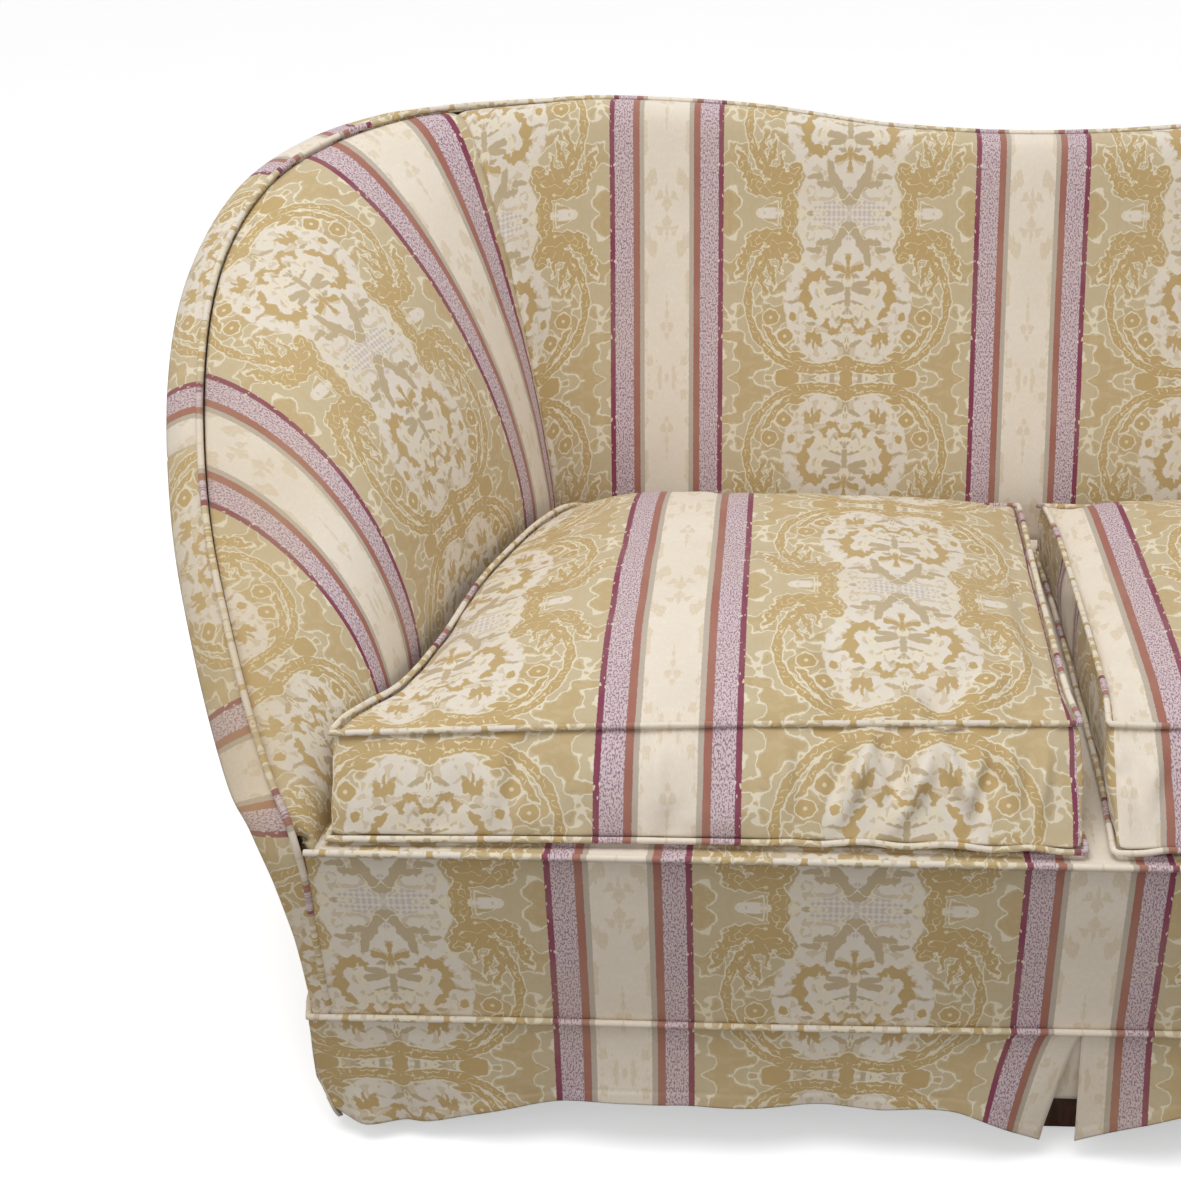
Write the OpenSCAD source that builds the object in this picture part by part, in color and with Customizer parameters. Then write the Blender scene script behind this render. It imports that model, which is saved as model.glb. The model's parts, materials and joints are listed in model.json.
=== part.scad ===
// Two-seat cabriole sofa: a back that bows round into flared arms, two loose seat cushions,
// welted seams and a scalloped skirt over six block legs. Millimetres, front towards -Y, floor at z 0.

/* [Overall] */
// Width of the base between its front welts
base_w = 1560; // [1300:10:2200]
// How far the arm rim flares out past the base, each side
arm_flare = 160; // [100:5:220]
// Depth from the base front to the rear welt
body_d = 900; // [820:10:1000]
// Height of the deck that the cushions lie on
deck_h = 370; // [340:5:430]
// Rise of the ears of the back above the deck
back_rise = 530; // [440:5:600]
// How much narrower the base front is at its foot, each side
front_taper = 12; // [4:1:24]

/* [Upholstery] */
// Thickness of the woven cover
cover_t = 2; // [1.5:0.1:3]
// Width of the facing band along the arm
band_w = 50; // [42:1:60]
// Fullness of the band across its width
band_crown = 5; // [2:0.5:9]
// Extra stuffing under the rolled top of the back
back_crown = 28; // [20:1:36]
// Diameter of the welt cord in its cover
welt_d = 9; // [6:0.5:11]
// Thickness of the felt on the deck
felt_t = 24; // [16:1:32]
// Thickness of the hessian under the felt
hessian_t = 2; // [1:0.5:3]
// Thickness of the elastic webbing
web_t = 3; // [2:0.5:4]
// Width of a webbing strap
web_w = 50; // [40:1:60]
// Distance between the middles of neighbouring straps
web_pitch = 115; // [90:1:140]

/* [Skirt] */
// Height of the skirt seam
seam_h = 160; // [140:1:190]
// How far the hem stands out from the base
skirt_swing = 14; // [8:1:24]
// Thickness of the lined skirt
skirt_t = 3; // [2:0.5:4]
// Gap between the lowest hem and the floor
hem_gap = 4; // [3:0.5:12]
// Rise of the scalloped hem in its cut-out
hem_rise = 64; // [30:1:80]
// Depth of the folds at the hem
fold_d = 5; // [2:0.5:8]
// How far the left front panel swings away from the middle at the hem
slit_left = 37; // [20:1:50]
// How far the right front panel swings away from the middle at the hem
slit_right = 4; // [2:1:20]

/* [Cushions] */
// Height of the boxing between the two welts of a cushion
boxing_h = 85; // [60:1:110]
// Crown of the cushion above its top welt
cushion_crown = 34; // [15:1:50]
// Clearance between a cushion and the arm beside it
side_gap = 6; // [4:0.5:12]
// Clearance between the two cushions
middle_gap = 14; // [12:0.5:24]
// Distance from the base front to the cushion's lower front seam
front_set = 16; // [14:1:40]
// How far the top front seam leans back at the arm
lean_arm = 52; // [20:1:80]
// How far the top front seam leans back at the middle of the sofa
lean_middle = 92; // [20:1:110]
// Bulge of the front boxing
front_bulge = 12; // [4:1:16]
// How far a cushion's sides draw in between its corners
draw_in = 7; // [2:0.5:12]
// Width of the zip strip in the rear boxing
zip_w = 24; // [18:1:36]

/* [Frame] */
// Thickness of the rails
rail_t = 30; // [24:1:36]
// Thickness of the back posts
post_t = 32; // [26:1:40]
// Width of an arm post across the sofa
arm_post_w = 52; // [46:1:60]
// Depth of an arm post
arm_post_d = 46; // [42:1:56]
// Depth of the curved arm timber behind its facing
timber_d = 40; // [34:1:44]
// Height of the rail across the top of the back
top_rail_h = 68; // [55:1:80]
// Height of the lower back rail
low_rail_h = 80; // [60:1:110]
// Height of the middle stretcher
stretcher_h = 90; // [60:1:120]
// Side of a corner block
block_w = 60; // [50:1:70]
// Height of a corner block
block_h = 50; // [40:1:70]
// Thickness of the dust cover under the base
dust_t = 1; // [0.8:0.1:2]

/* [Legs] */
// Height of the base above the floor
leg_h = 70; // [55:1:100]
// Side of a leg at its top
leg_w = 58; // [50:1:64]
// How much a leg narrows to its foot
leg_taper = 12; // [4:1:20]
// Diameter of a glide
glide_d = 24; // [18:1:30]
// Thickness of a glide
glide_t = 4; // [3:0.5:6]
// Diameter of a leg bolt
bolt_d = 8; // [6:0.5:10]
// Depth of a leg bolt in its leg
bolt_grip = 40; // [25:1:45]
// Radial clearance round a leg bolt
bolt_fit = 0.2; // [0.1:0.05:0.4]

/* [Hidden] */

// The skirt, front-most, and the rear welt set the middle of the depth.
front_y = -(body_d - skirt_swing) / 2;
half_w = base_w / 2;
// Clearance of an insert from the curved cover beside it
fit = 0.3;
// Run of a small step along a surface when its slope is measured
probe_share = 0.05;
welt_r = welt_d / 2;
rail_top = deck_h - cover_t - felt_t - hessian_t - 2 * web_t;
side_top = rail_top + web_t;
pad_z = side_top + web_t;
foot_half = half_w - front_taper;

// Stations run from the foot of the left arm's front edge (0), past the skirt seam and the top of the
// base front, over the arm and round the ear to the middle of the back (16), and mirrored from there
// to the right arm's foot (32). Between the two board stations the top of the back is straight.
station_shares = [0.5, 2, 11, 13, 16];
SEAM = station_shares[0];
FRONT_TOP = station_shares[1];
EAR = station_shares[2];
BOARD = station_shares[3];
MIDDLE = station_shares[4];
LAST = 2 * MIDDLE;

// Inner rim from station 2 on: shares of the half width, the flare, the depth and the rise.
rim_shares = [
    [1, 0, 0.006, 0.028], [1, 0.19, 0.050, 0.132], [1, 0.50, 0.155, 0.302], [1, 0.81, 0.289, 0.462],
    [1, 0.97, 0.422, 0.660], [1, 1, 0.556, 0.811], [1, 0.84, 0.689, 0.915], [1, 0.50, 0.789, 0.968],
    [1, 0.03, 0.856, 0.998], [0.930, 0, 0.905, 1], [0.815, 0, 0.958, 0.999], [0.692, 0, 0.990, 0.999],
    [0.460, 0, 1, 0.979], [0.230, 0, 1, 0.934], [0, 0, 1, 0.919]
];
// Foot of the inner faces, from station 0: shares of the half width and of the depth.
foot_shares = [
    [0.984, 0], [0.982, 0.004], [0.980, 0.011], [0.974, 0.056], [0.954, 0.100], [0.921, 0.156],
    [0.892, 0.267], [0.867, 0.422], [0.827, 0.556], [0.797, 0.644], [0.781, 0.706], [0.774, 0.748],
    [0.731, 0.784], [0.615, 0.798], [0.423, 0.800], [0.212, 0.800], [0, 0.800]
];
// Outline of the base at the floor rails: shares of its half width and of the depth.
base_shares = [
    [1, 0], [1.003, 0.013], [1.007, 0.033], [1.010, 0.100], [1.017, 0.189], [1.022, 0.311],
    [1.025, 0.444], [1.022, 0.578], [1.010, 0.689], [0.974, 0.794], [0.912, 0.878], [0.842, 0.928],
    [0.726, 0.964], [0.588, 0.978], [0.408, 0.981], [0.204, 0.981], [0, 0.981]
];
// Facing band from the inner rim to its outer edge, as shares of the band's width along X, Y and Z.
band_shares = [
    [-0.30, 0, 0], [-0.42, 0, 0], [-0.90, 0.15, -0.10], [-0.95, 0.20, -0.55], [-0.92, 0.18, -0.70],
    [-0.88, 0.14, -0.50], [-0.90, 0.20, -0.38], [-0.90, 0.28, -0.36], [-0.86, 0.42, -0.18],
    [-0.72, 0.62, -0.06], [-0.48, 0.60, -0.02], [-0.16, 0.26, -0.01], [-0.03, 0.07, -0.01],
    [0, 0.05, -0.01], [0, 0.05, -0.01], [0, 0.05, -0.01], [0, 0.05, -0.01]
];
// Section of the inner faces: share of the rise that is upright at the foot, then the power that
// sharpens the roll (1 is a quarter ellipse, 2 a straight rake), then the share of the back's crown.
section_shares = [
    [0.25, 1.05, 0], [0.25, 1.05, 0], [0.25, 1.05, 0], [0.25, 1.05, 0], [0.25, 1.05, 0],
    [0.25, 1.02, 0], [0.25, 1, 0], [0.24, 1.05, 0], [0.22, 1.2, 0], [0.19, 1.3, 0.05],
    [0.15, 1.4, 0.15], [0.12, 1.48, 0.4], [0.10, 1.65, 0.8], [0.09, 1.78, 1], [0.09, 1.8, 1],
    [0.09, 1.8, 1], [0.09, 1.8, 1]
];
// Hem height from the corner of the sofa to the middle of its front, as shares of the rise.
hem_shares = [0.02, 0, 0.55, 0.95, 1, 0.95, 0.92, 0.98, 0.34];
// Hem height along a side, and half way along the back.
side_hem_shares = [0.02, 0, 0.6, 0.95, 1, 0.95, 0.6, 0.05, 0.02];
back_hem_shares = [0.02, 0.05, 0.6, 0.95, 1, 1, 1, 1, 1];
// Rows up an inner face, as shares of the quarter turn from foot to rim.
row_shares = [0, 0.22, 0.44, 0.64, 0.80, 0.91, 1];
// Height of the outer cover that is upright, as a share of the height of its top edge.
knee_share = 0.35;
// How the outer cover bows in between knee and rim: 1 is straight.
outer_bow_share = 1.2;

function lerp(a, b, u) = a + (b - a) * u;
function unit(v) = v / norm(v);
function ease(u) = let (c = max(0, min(1, u))) c * c * (3 - 2 * c);
function flip(p) = len(p) > 2 && p[2] != undef ? [-p[0], p[1], p[2]] : [-p[0], p[1]];
function round_sofa(half) = concat(half, [for (i = [len(half) - 2:-1:0]) flip(half[i])]);
function round_same(half) = concat(half, [for (i = [len(half) - 2:-1:0]) half[i]]);

// Smooth curve through the entries of a list, at place t.
function along(list, t) =
    let (n = len(list) - 1, c = max(0, min(n, t)), i = min(floor(c), n - 1), u = c - i)
    let (b = list[i], d = list[i + 1])
    let (a = i > 0 ? list[i - 1] : 2 * b - d, e = i + 2 <= n ? list[i + 2] : 2 * d - b)
    ((2 * b) + (d - a) * u + (2 * a - 5 * b + 4 * d - e) * u * u + (3 * b - a - 3 * d + e) * u * u * u) / 2;

RIM = round_sofa(concat(
    [[-foot_half, front_y, leg_h], [-(half_w + foot_half) / 2, front_y, (seam_h + deck_h) / 2]],
    [for (s = rim_shares)
        [-(s[0] * half_w + s[1] * arm_flare), front_y + s[2] * body_d, deck_h + s[3] * back_rise]]
));
BAND = round_sofa([for (s = band_shares) s * band_w]);
FOOT = round_sofa([for (s = foot_shares) [-s[0] * half_w, front_y + s[1] * body_d]]);
base_half = foot_half - band_shares[0][0] * band_w + front_taper / 3;
BASE = round_sofa([for (s = base_shares) [-s[0] * base_half, front_y + s[1] * body_d]]);
SECTION = round_same(section_shares);

function rim(t) = along(RIM, t);
function outer_rim(t) = rim(t) + along(BAND, t);
function foot(t) = along(FOOT, t);
function base_edge(t) = along(BASE, t);
function on_floor_plan(p, z) = [p[0], p[1], z];

// Directions at the rim: along it, across the band, and out of the band's face.
function rim_run(t) = unit(rim(t + probe_share) - rim(t - probe_share));
function rim_face(t) = unit(cross(rim_run(t), along(BAND, t)));
function rim_across(t) = unit(cross(rim_face(t), rim_run(t)));

// A point of the inner face at station t and height share w: below 0 is the upright tuck-in.
function foot_z(t) = lerp(deck_h, rim(t)[2], along(SECTION, t)[0]);
function inner_face(t, w) =
    let (f = foot(t), zf = foot_z(t), r = rim(t), s = along(SECTION, t))
    w < 0 ? [f[0], f[1], lerp(zf, pad_z, -w)] :
    let (a = 90 * w, out = 1 - pow(cos(a), s[1]), up = pow(sin(a), s[1]))
    let (h = [r[0] - f[0], r[1] - f[1]], rise = r[2] - zf, lift = s[2] * back_crown * sin(180 * pow(w, 4)))
    let (lean = unit([-h[0] * rise / norm(h), -h[1] * rise / norm(h), norm(h)]))
    [f[0] + h[0] * out, f[1] + h[1] * out, zf + rise * up] + lean * lift;
function face_normal(t, w) =
    let (w0 = max(-1, w - probe_share), w1 = min(1, w + probe_share))
    let (t0 = max(0, t - probe_share), t1 = min(LAST, t + probe_share))
    unit(cross(inner_face(t1, w) - inner_face(t0, w), inner_face(t, w1) - inner_face(t, w0)));

// A point of the outside at station t and height share w, from the rails' underside to the outer rim.
function knee_z(t) =
    let (top = outer_rim(t)[2], high_share = 0.9)
    max(lerp(leg_h, top, knee_share), min(seam_h + welt_d, lerp(leg_h, top, high_share)));
function outer_face(t, w) =
    let (b = base_edge(t), o = outer_rim(t), k = knee_z(t))
    w < knee_share ? [b[0], b[1], lerp(leg_h, k, w / knee_share)] :
    let (u = (w - knee_share) / (1 - knee_share), s = pow(u, outer_bow_share))
    [lerp(b[0], o[0], s), lerp(b[1], o[1], s), lerp(k, o[2], u)];
function outer_normal(t, w) =
    let (w0 = max(0, w - probe_share), w1 = min(1, w + probe_share))
    let (t0 = max(0, t - probe_share), t1 = min(LAST, t + probe_share))
    unit(cross(outer_face(t, w1) - outer_face(t, w0), outer_face(t1, w) - outer_face(t0, w)));
function base_normal(t) =
    let (d = base_edge(min(LAST, t + probe_share)) - base_edge(max(0, t - probe_share)))
    unit([-d[1], d[0]]);

// Closed solid between two grids of points that have the same rows and columns.
module slab(front, back) {
    rows = len(front);
    cols = len(front[0]);
    n = rows * cols;
    points = concat([for (r = front) each r], [for (r = back) each r]);
    function at(i, j, side) = i * cols + j + side * n;
    skins = [for (i = [0:rows - 2], j = [0:cols - 2]) each [
        [at(i, j, 0), at(i + 1, j, 0), at(i + 1, j + 1, 0)],
        [at(i, j, 0), at(i + 1, j + 1, 0), at(i, j + 1, 0)],
        [at(i, j, 1), at(i + 1, j + 1, 1), at(i + 1, j, 1)],
        [at(i, j, 1), at(i, j + 1, 1), at(i + 1, j + 1, 1)]
    ]];
    ends = [for (i = [0:rows - 2]) each [
        [at(i, 0, 0), at(i, 0, 1), at(i + 1, 0, 1)],
        [at(i, 0, 0), at(i + 1, 0, 1), at(i + 1, 0, 0)],
        [at(i, cols - 1, 0), at(i + 1, cols - 1, 1), at(i, cols - 1, 1)],
        [at(i, cols - 1, 0), at(i + 1, cols - 1, 0), at(i + 1, cols - 1, 1)]
    ]];
    sides = [for (j = [0:cols - 2]) each [
        [at(0, j, 0), at(0, j + 1, 1), at(0, j, 1)],
        [at(0, j, 0), at(0, j + 1, 0), at(0, j + 1, 1)],
        [at(rows - 1, j, 0), at(rows - 1, j, 1), at(rows - 1, j + 1, 1)],
        [at(rows - 1, j, 0), at(rows - 1, j + 1, 1), at(rows - 1, j + 1, 0)]
    ]];
    polyhedron(points, concat(skins, ends, sides));
}

// Closed solid through rings that have the same number of corners, with flat ends.
module loft(rings) {
    m = len(rings[0]);
    last = len(rings) - 1;
    points = [for (r = rings) each r];
    walls = [for (i = [0:last - 1], k = [0:m - 1]) each [
        [i * m + k, i * m + (k + 1) % m, (i + 1) * m + (k + 1) % m],
        [i * m + k, (i + 1) * m + (k + 1) % m, (i + 1) * m + k]
    ]];
    caps = [[for (k = [m - 1:-1:0]) k], [for (k = [0:m - 1]) last * m + k]];
    polyhedron(points, concat(walls, caps));
}

// Round cord through points, with rings of the given sides square to its run.
module cord(path, radius, sides, closed) {
    n = len(path);
    function run(i) = closed ? unit(path[(i + 1) % n] - path[(i + n - 1) % n])
        : unit(path[min(n - 1, i + 1)] - path[max(0, i - 1)]);
    function across(i) = unit(cross(run(i), abs(run(i)[2]) > abs(run(i)[1]) ? [0, 1, 0] : [0, 0, 1]));
    rings = [for (i = [0:n - 1]) let (a = across(i), b = cross(a, run(i)))
        [for (k = [0:sides - 1]) path[i] + radius * (a * cos(360 * k / sides) + b * sin(360 * k / sides))]];
    if (closed) closed_loft(rings);
    else loft(rings);
}

module closed_loft(rings) {
    m = len(rings[0]);
    n = len(rings);
    points = [for (r = rings) each r];
    walls = [for (i = [0:n - 1], k = [0:m - 1]) let (j = (i + 1) % n) each [
        [i * m + k, i * m + (k + 1) % m, j * m + (k + 1) % m],
        [i * m + k, j * m + (k + 1) % m, j * m + k]
    ]];
    polyhedron(points, walls);
}

function steps(a, b, n) = [for (i = [0:n]) lerp(a, b, i / n)];

// Frame

module rail_piece(t0, t1, n, top) {
    ts = steps(t0, t1, n);
    outer = [for (t = ts) base_edge(t) - base_normal(t) * (cover_t + fit)];
    inner = [for (i = [n:-1:0]) base_edge(ts[i]) - base_normal(ts[i]) * (cover_t + rail_t)];
    translate([0, 0, leg_h]) linear_extrude(top - leg_h) polygon(concat(outer, inner));
}

// Inner side of an arm post, and the plane behind it
post_x = foot_half - band_shares[0][0] * band_w - cover_t - arm_post_w;
post_back = front_y + cover_t + arm_post_d;
rail_end_share = 9.5;
RAIL_END = rail_end_share;

module front_rail() color("burlywood")
    translate([-post_x, front_y + cover_t, leg_h]) cube([2 * post_x, rail_t, rail_top - leg_h]);

module side_rail_left() color("burlywood") difference() {
    rail_piece(1, RAIL_END, 17, side_top);
    translate([-base_w, post_back - body_d, 0]) cube([base_w, body_d, deck_h]);
}

module side_rail_right() mirror([1, 0, 0]) side_rail_left();

module back_rail() color("burlywood") rail_piece(RAIL_END, LAST - RAIL_END, 26, rail_top);

// Lower back rail: its rear face is this far behind the foot of the back
low_rail_y = front_y + foot_shares[MIDDLE][1] * body_d + rail_t / 2 - rail_t;
// The side rail's inner face where the lower back rail meets it
low_rail_share = 9;
low_rail_x = -base_edge(low_rail_share)[0] - cover_t - rail_t;

module lower_back_rail() color("burlywood")
    difference() {
        translate([-low_rail_x - rail_t, low_rail_y, rail_top - low_rail_h])
            cube([2 * (low_rail_x + rail_t), rail_t, low_rail_h]);
        rail_piece(6, RAIL_END, 7, deck_h);
        mirror([1, 0, 0]) rail_piece(6, RAIL_END, 7, deck_h);
        outside_base();
    }

// Everything outside the base outline, so that a cross rail ends inside the side rails.
module outside_base() difference() {
    translate([-base_w, low_rail_y - rail_t, 0]) cube([2 * base_w, 3 * rail_t, deck_h]);
    linear_extrude(2 * deck_h)
        polygon([for (t = steps(0, LAST, 64)) base_edge(t) - base_normal(t) * (cover_t + rail_t / 2)]);
}

module middle_stretcher() color("burlywood") difference() {
    translate([-rail_t / 2, front_y + cover_t + rail_t, leg_h])
        cube([rail_t, back_inner_y - front_y - cover_t - rail_t, stretcher_h]);
    leg_bolt_holes();
}

// Inner face of the back rail at the middle
back_inner_y = base_edge(MIDDLE)[1] - cover_t - rail_t;

// The rail across the top of the back is a straight board inside the rear welt.
board_rear_y = front_y + rim_shares[BOARD - FRONT_TOP][2] * body_d - cover_t - welt_r;
board_drop = back_crown + welt_d;
// The curved timber's inner and outer side, as shares of the band's width
timber_shares = [0.28, 0.74];

// Corners of the board's section at station t: top front, top rear, low rear, low front.
function board(t) =
    let (x = rim(t)[0], z = rim(t)[2] - board_drop, y = board_rear_y)
    [[x, y - rail_t, z], [x, y, z], [x, y, z - top_rail_h], [x, y - rail_t, z - top_rail_h]];

// The same corners of the timber under the rim, which turns from the arm's section into the board's.
function timber(t) =
    let (s = min(t, LAST - t), k = ease((s - EAR + 1) / (BOARD - EAR + 1)), deep = 2 * cover_t)
    let (r = rim(t), w = unit(lerp(rim_across(t), [0, 1, 0], k)), n = unit(lerp(rim_face(t), [0, 0, 1], k)))
    let (wide = norm(along(BAND, t)))
    let (a0 = lerp(wide * timber_shares[0], -rail_t - welt_r - cover_t, k))
    let (a1 = lerp(wide * timber_shares[1], -welt_r - cover_t, k))
    let (b0 = lerp(deep, board_drop, k), b1 = lerp(deep + timber_d, board_drop + top_rail_h, k))
    s >= BOARD ? board(t) :
    [r + w * a0 - n * b0, r + w * a1 - n * b0, r + w * a1 - n * b1, r + w * a0 - n * b1];

// The timber's heel stands on the arm post.
function heel() =
    let (x1 = -(post_x + arm_post_w - cover_t), x0 = foot(FRONT_TOP)[0] - 2 * cover_t)
    let (y0 = front_y + 2 * cover_t, y1 = y0 + timber_d)
    [[x0, y0, rail_top], [x1, y0, rail_top], [x1, y1, rail_top], [x0, y1, rail_top]];

module arm_post_left() color("burlywood")
    translate([-post_x - arm_post_w, front_y + cover_t, leg_h])
        cube([arm_post_w, arm_post_d, rail_top - leg_h]);

module arm_post_right() mirror([1, 0, 0]) arm_post_left();

module arm_timber_left() color("tan")
    loft(concat([heel()], [for (t = steps(FRONT_TOP + 1, BOARD, 20)) timber(t)]));

module arm_timber_right() mirror([1, 0, 0]) arm_timber_left();

module back_top_rail() color("tan") {
    ends = [for (t = steps(BOARD, LAST - BOARD, 12)) board(t)];
    low = [for (i = [len(ends) - 1:-1:0]) [ends[i][2][0], ends[i][2][2]]];
    translate([0, board_rear_y, 0]) rotate([90, 0, 0]) linear_extrude(rail_t)
        polygon(concat([for (e = ends) [e[1][0], e[1][2]]], low));
}

// A back post is a board cut to the rake of the back, standing on the back rail.
post_shares = [0.36, 0.5, 0.65, 0.8];
module back_post(t) {
    x = rim(t)[0];
    low = board(t)[2];
    z1 = min([for (side = [-1, 1]) board(t + side * post_t / web_pitch)[2][2]]) - fit;
    y_fore = pad_rear_foot(t)[1] + cover_t;
    rear = [for (w = post_shares) let (q = outer_face(t, w))
        [min(q[1] - 3 * cover_t, low[1]), min(q[2], z1)]];
    translate([x - post_t / 2, 0, 0]) rotate([90, 0, 90]) linear_extrude(post_t)
        polygon(concat(
            [[y_fore, rail_top], [rear[0][0], rail_top]], rear, [[low[1] - rail_t + cover_t, z1]]));
}

// Station of a side post
post_share = 13.5;
POST = post_share;
module back_post_left() color("burlywood") back_post(POST);
module back_post_middle() color("burlywood") back_post(MIDDLE);
module back_post_right() color("burlywood") back_post(LAST - POST);

// An arm stay braces the arm timber from the side rail, between the stuffing and the outer cover.
stay_station_shares = [6.5, 7];
STAY_FRONT = stay_station_shares[0];
STAY_REAR = stay_station_shares[1];
// Part of the rail's thickness that a stay stands on, and the heights of its middle sections
stay_share = 0.75;
stay_shares = [0.33, 0.66];
function on_rail(t, share) =
    on_floor_plan(base_edge(t) - base_normal(t) * (cover_t + rail_t * share), side_top);
function outer_at(t, z) =
    let (k = knee_z(t), u = max(0, z - k) / (outer_rim(t)[2] - k), w = knee_share + (1 - knee_share) * u)
    outer_face(t, w) - outer_normal(t, w) * 2 * cover_t;
function stay_side(t, s) =
    let (p = lerp(on_rail(t, stay_share), timber(t)[3], s), q = outer_at(t, p[2]))
    [p, [q[0], q[1], p[2]]];
module arm_stay_left() color("tan") {
    a = timber(STAY_FRONT);
    b = timber(STAY_REAR);
    foot = [for (t = [STAY_FRONT, STAY_REAR]) [on_rail(t, stay_share), on_rail(t, stay_share / 6)]];
    loft(concat(
        [[foot[0][0], foot[0][1], foot[1][1], foot[1][0]]],
        [for (s = stay_shares) let (p = stay_side(STAY_FRONT, s), q = stay_side(STAY_REAR, s))
            [p[0], p[1], q[1], q[0]]],
        [[a[3], a[2], b[2], b[3]]]
    ));
}

module arm_stay_right() mirror([1, 0, 0]) arm_stay_left();

// Places of the legs in plan: three along the front and three along the back.
leg_row_front = front_y + cover_t + rail_t + leg_w / 2 - leg_taper;
leg_row_rear = back_inner_y - block_w / 2;
leg_x_front = post_x - block_w / 2 - fit;
leg_x_rear = rim_shares[BOARD - FRONT_TOP][0] * half_w - block_w / 2;
LEGS = [
    [-leg_x_front, leg_row_front], [0, leg_row_front], [leg_x_front, leg_row_front],
    [-leg_x_rear, leg_row_rear], [0, leg_row_rear], [leg_x_rear, leg_row_rear]
];
bolt_hole_d = bolt_d + 2 * bolt_fit;

// A square leg that narrows to its foot, with a blind hole for its bolt.
module leg(place) color("saddlebrown") translate([place[0], place[1], glide_t]) difference() {
    intersection() {
        rotate([90, 0, 0]) linear_extrude(leg_w, center = true) leg_side();
        rotate([90, 0, 90]) linear_extrude(leg_w, center = true) leg_side();
    }
    translate([0, 0, leg_h - glide_t - bolt_grip - bolt_fit])
        cylinder(h = bolt_grip + leg_h, d = bolt_hole_d, $fn = 48);
}

module leg_side() {
    foot = leg_w - leg_taper;
    polygon([[-foot / 2, 0], [foot / 2, 0], [leg_w / 2, leg_h - glide_t], [-leg_w / 2, leg_h - glide_t]]);
}

module leg_front_left() leg(LEGS[0]);
module leg_front_middle() leg(LEGS[1]);
module leg_front_right() leg(LEGS[2]);
module leg_rear_left() leg(LEGS[3]);
module leg_rear_middle() leg(LEGS[4]);
module leg_rear_right() leg(LEGS[5]);

module glides() color("dimgray") for (p = LEGS)
    translate([p[0], p[1], 0]) cylinder(h = glide_t, d = glide_d, $fn = 48);

module leg_bolt_holes() for (p = LEGS)
    translate([p[0], p[1], 0]) cylinder(h = deck_h, d = bolt_hole_d, $fn = 48);

// Corner blocks take the bolts of the four outer legs; the rear ones are cut to the back rail.
module corner_blocks() color("wheat") difference() {
    for (p = LEGS) if (p[0] != 0) translate([p[0] - block_w / 2, block_y(p), leg_h])
        cube([block_w, block_w, block_h]);
    leg_bolt_holes();
    rail_piece(RAIL_END, LAST - RAIL_END, 26, rail_top);
}

function block_y(p) = p[1] < 0 ? front_y + cover_t + rail_t : back_inner_y - block_w;

// A leg bolt ends in a washer and nut on its corner block, or on the stretcher over a middle leg.
washer_t = bolt_d / 4;
washer_d = 3 * bolt_d;
nut_t = bolt_d * 0.8;
nut_d = 1.8 * bolt_d;
module leg_bolts() color("silver") for (p = LEGS) let (seat = p[0] == 0 ? stretcher_h : block_h)
    translate([p[0], p[1], leg_h]) {
        translate([0, 0, -bolt_grip])
            cylinder(h = bolt_grip + seat + washer_t + nut_t, d = bolt_d, $fn = 48);
        translate([0, 0, seat]) cylinder(h = washer_t, d = washer_d, $fn = 48);
        translate([0, 0, seat + washer_t]) cylinder(h = nut_t, d = nut_d, $fn = 6);
    }

// Seat deck

seat_half = -foot(EAR)[0];
strap_count = floor((seat_half - web_w / 2) / web_pitch);
strap_back = low_rail_y + rail_t / 2;

module webbing_straps() color("black") for (i = [-strap_count:strap_count])
    translate([i * web_pitch - web_w / 2, front_y + 2 * cover_t, rail_top])
        cube([web_w, strap_back - front_y - 2 * cover_t, web_t]);

// Places of the cross straps as shares of the depth
cross_shares = [0.14, 0.27, 0.40, 0.66];
module webbing_cross_straps() color("black") for (s = cross_shares)
    translate([-base_half + cover_t + rail_t / 2, front_y + s * body_d - web_w / 2, side_top])
        cube([2 * (base_half - cover_t - rail_t / 2), web_w, web_t]);

function seat_outline(inset) = concat(
    [[-foot(FRONT_TOP)[0], front_y + inset], [foot(FRONT_TOP)[0], front_y + inset]],
    [for (t = concat(ARM_COLS, BACK_COLS, [for (i = [len(ARM_COLS) - 1:-1:0]) LAST - ARM_COLS[i]]))
        let (p = foot(t)) p - unit([p[0], max(0, p[1])]) * fit]
);

module seat_hessian() color("peru")
    translate([0, 0, pad_z]) linear_extrude(hessian_t) polygon(seat_outline(cover_t));
module deck_felt() color("gainsboro")
    translate([0, 0, pad_z + hessian_t]) linear_extrude(felt_t) polygon(seat_outline(cover_t));
module deck_cover() color("antiquewhite")
    translate([0, 0, deck_h - cover_t]) linear_extrude(cover_t) polygon(seat_outline(0));

module dust_cover() color("black") translate([0, 0, leg_h - dust_t]) linear_extrude(dust_t) difference() {
    polygon([for (t = steps(0, LAST, 64)) base_edge(t) - base_normal(t) * (rail_t / 2)]);
    for (p = LEGS) translate(p) square(leg_w + 2 * fit, center = true);
}

// Stuffing between an inner cover and the timber, hessian line and rails behind it.

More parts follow.
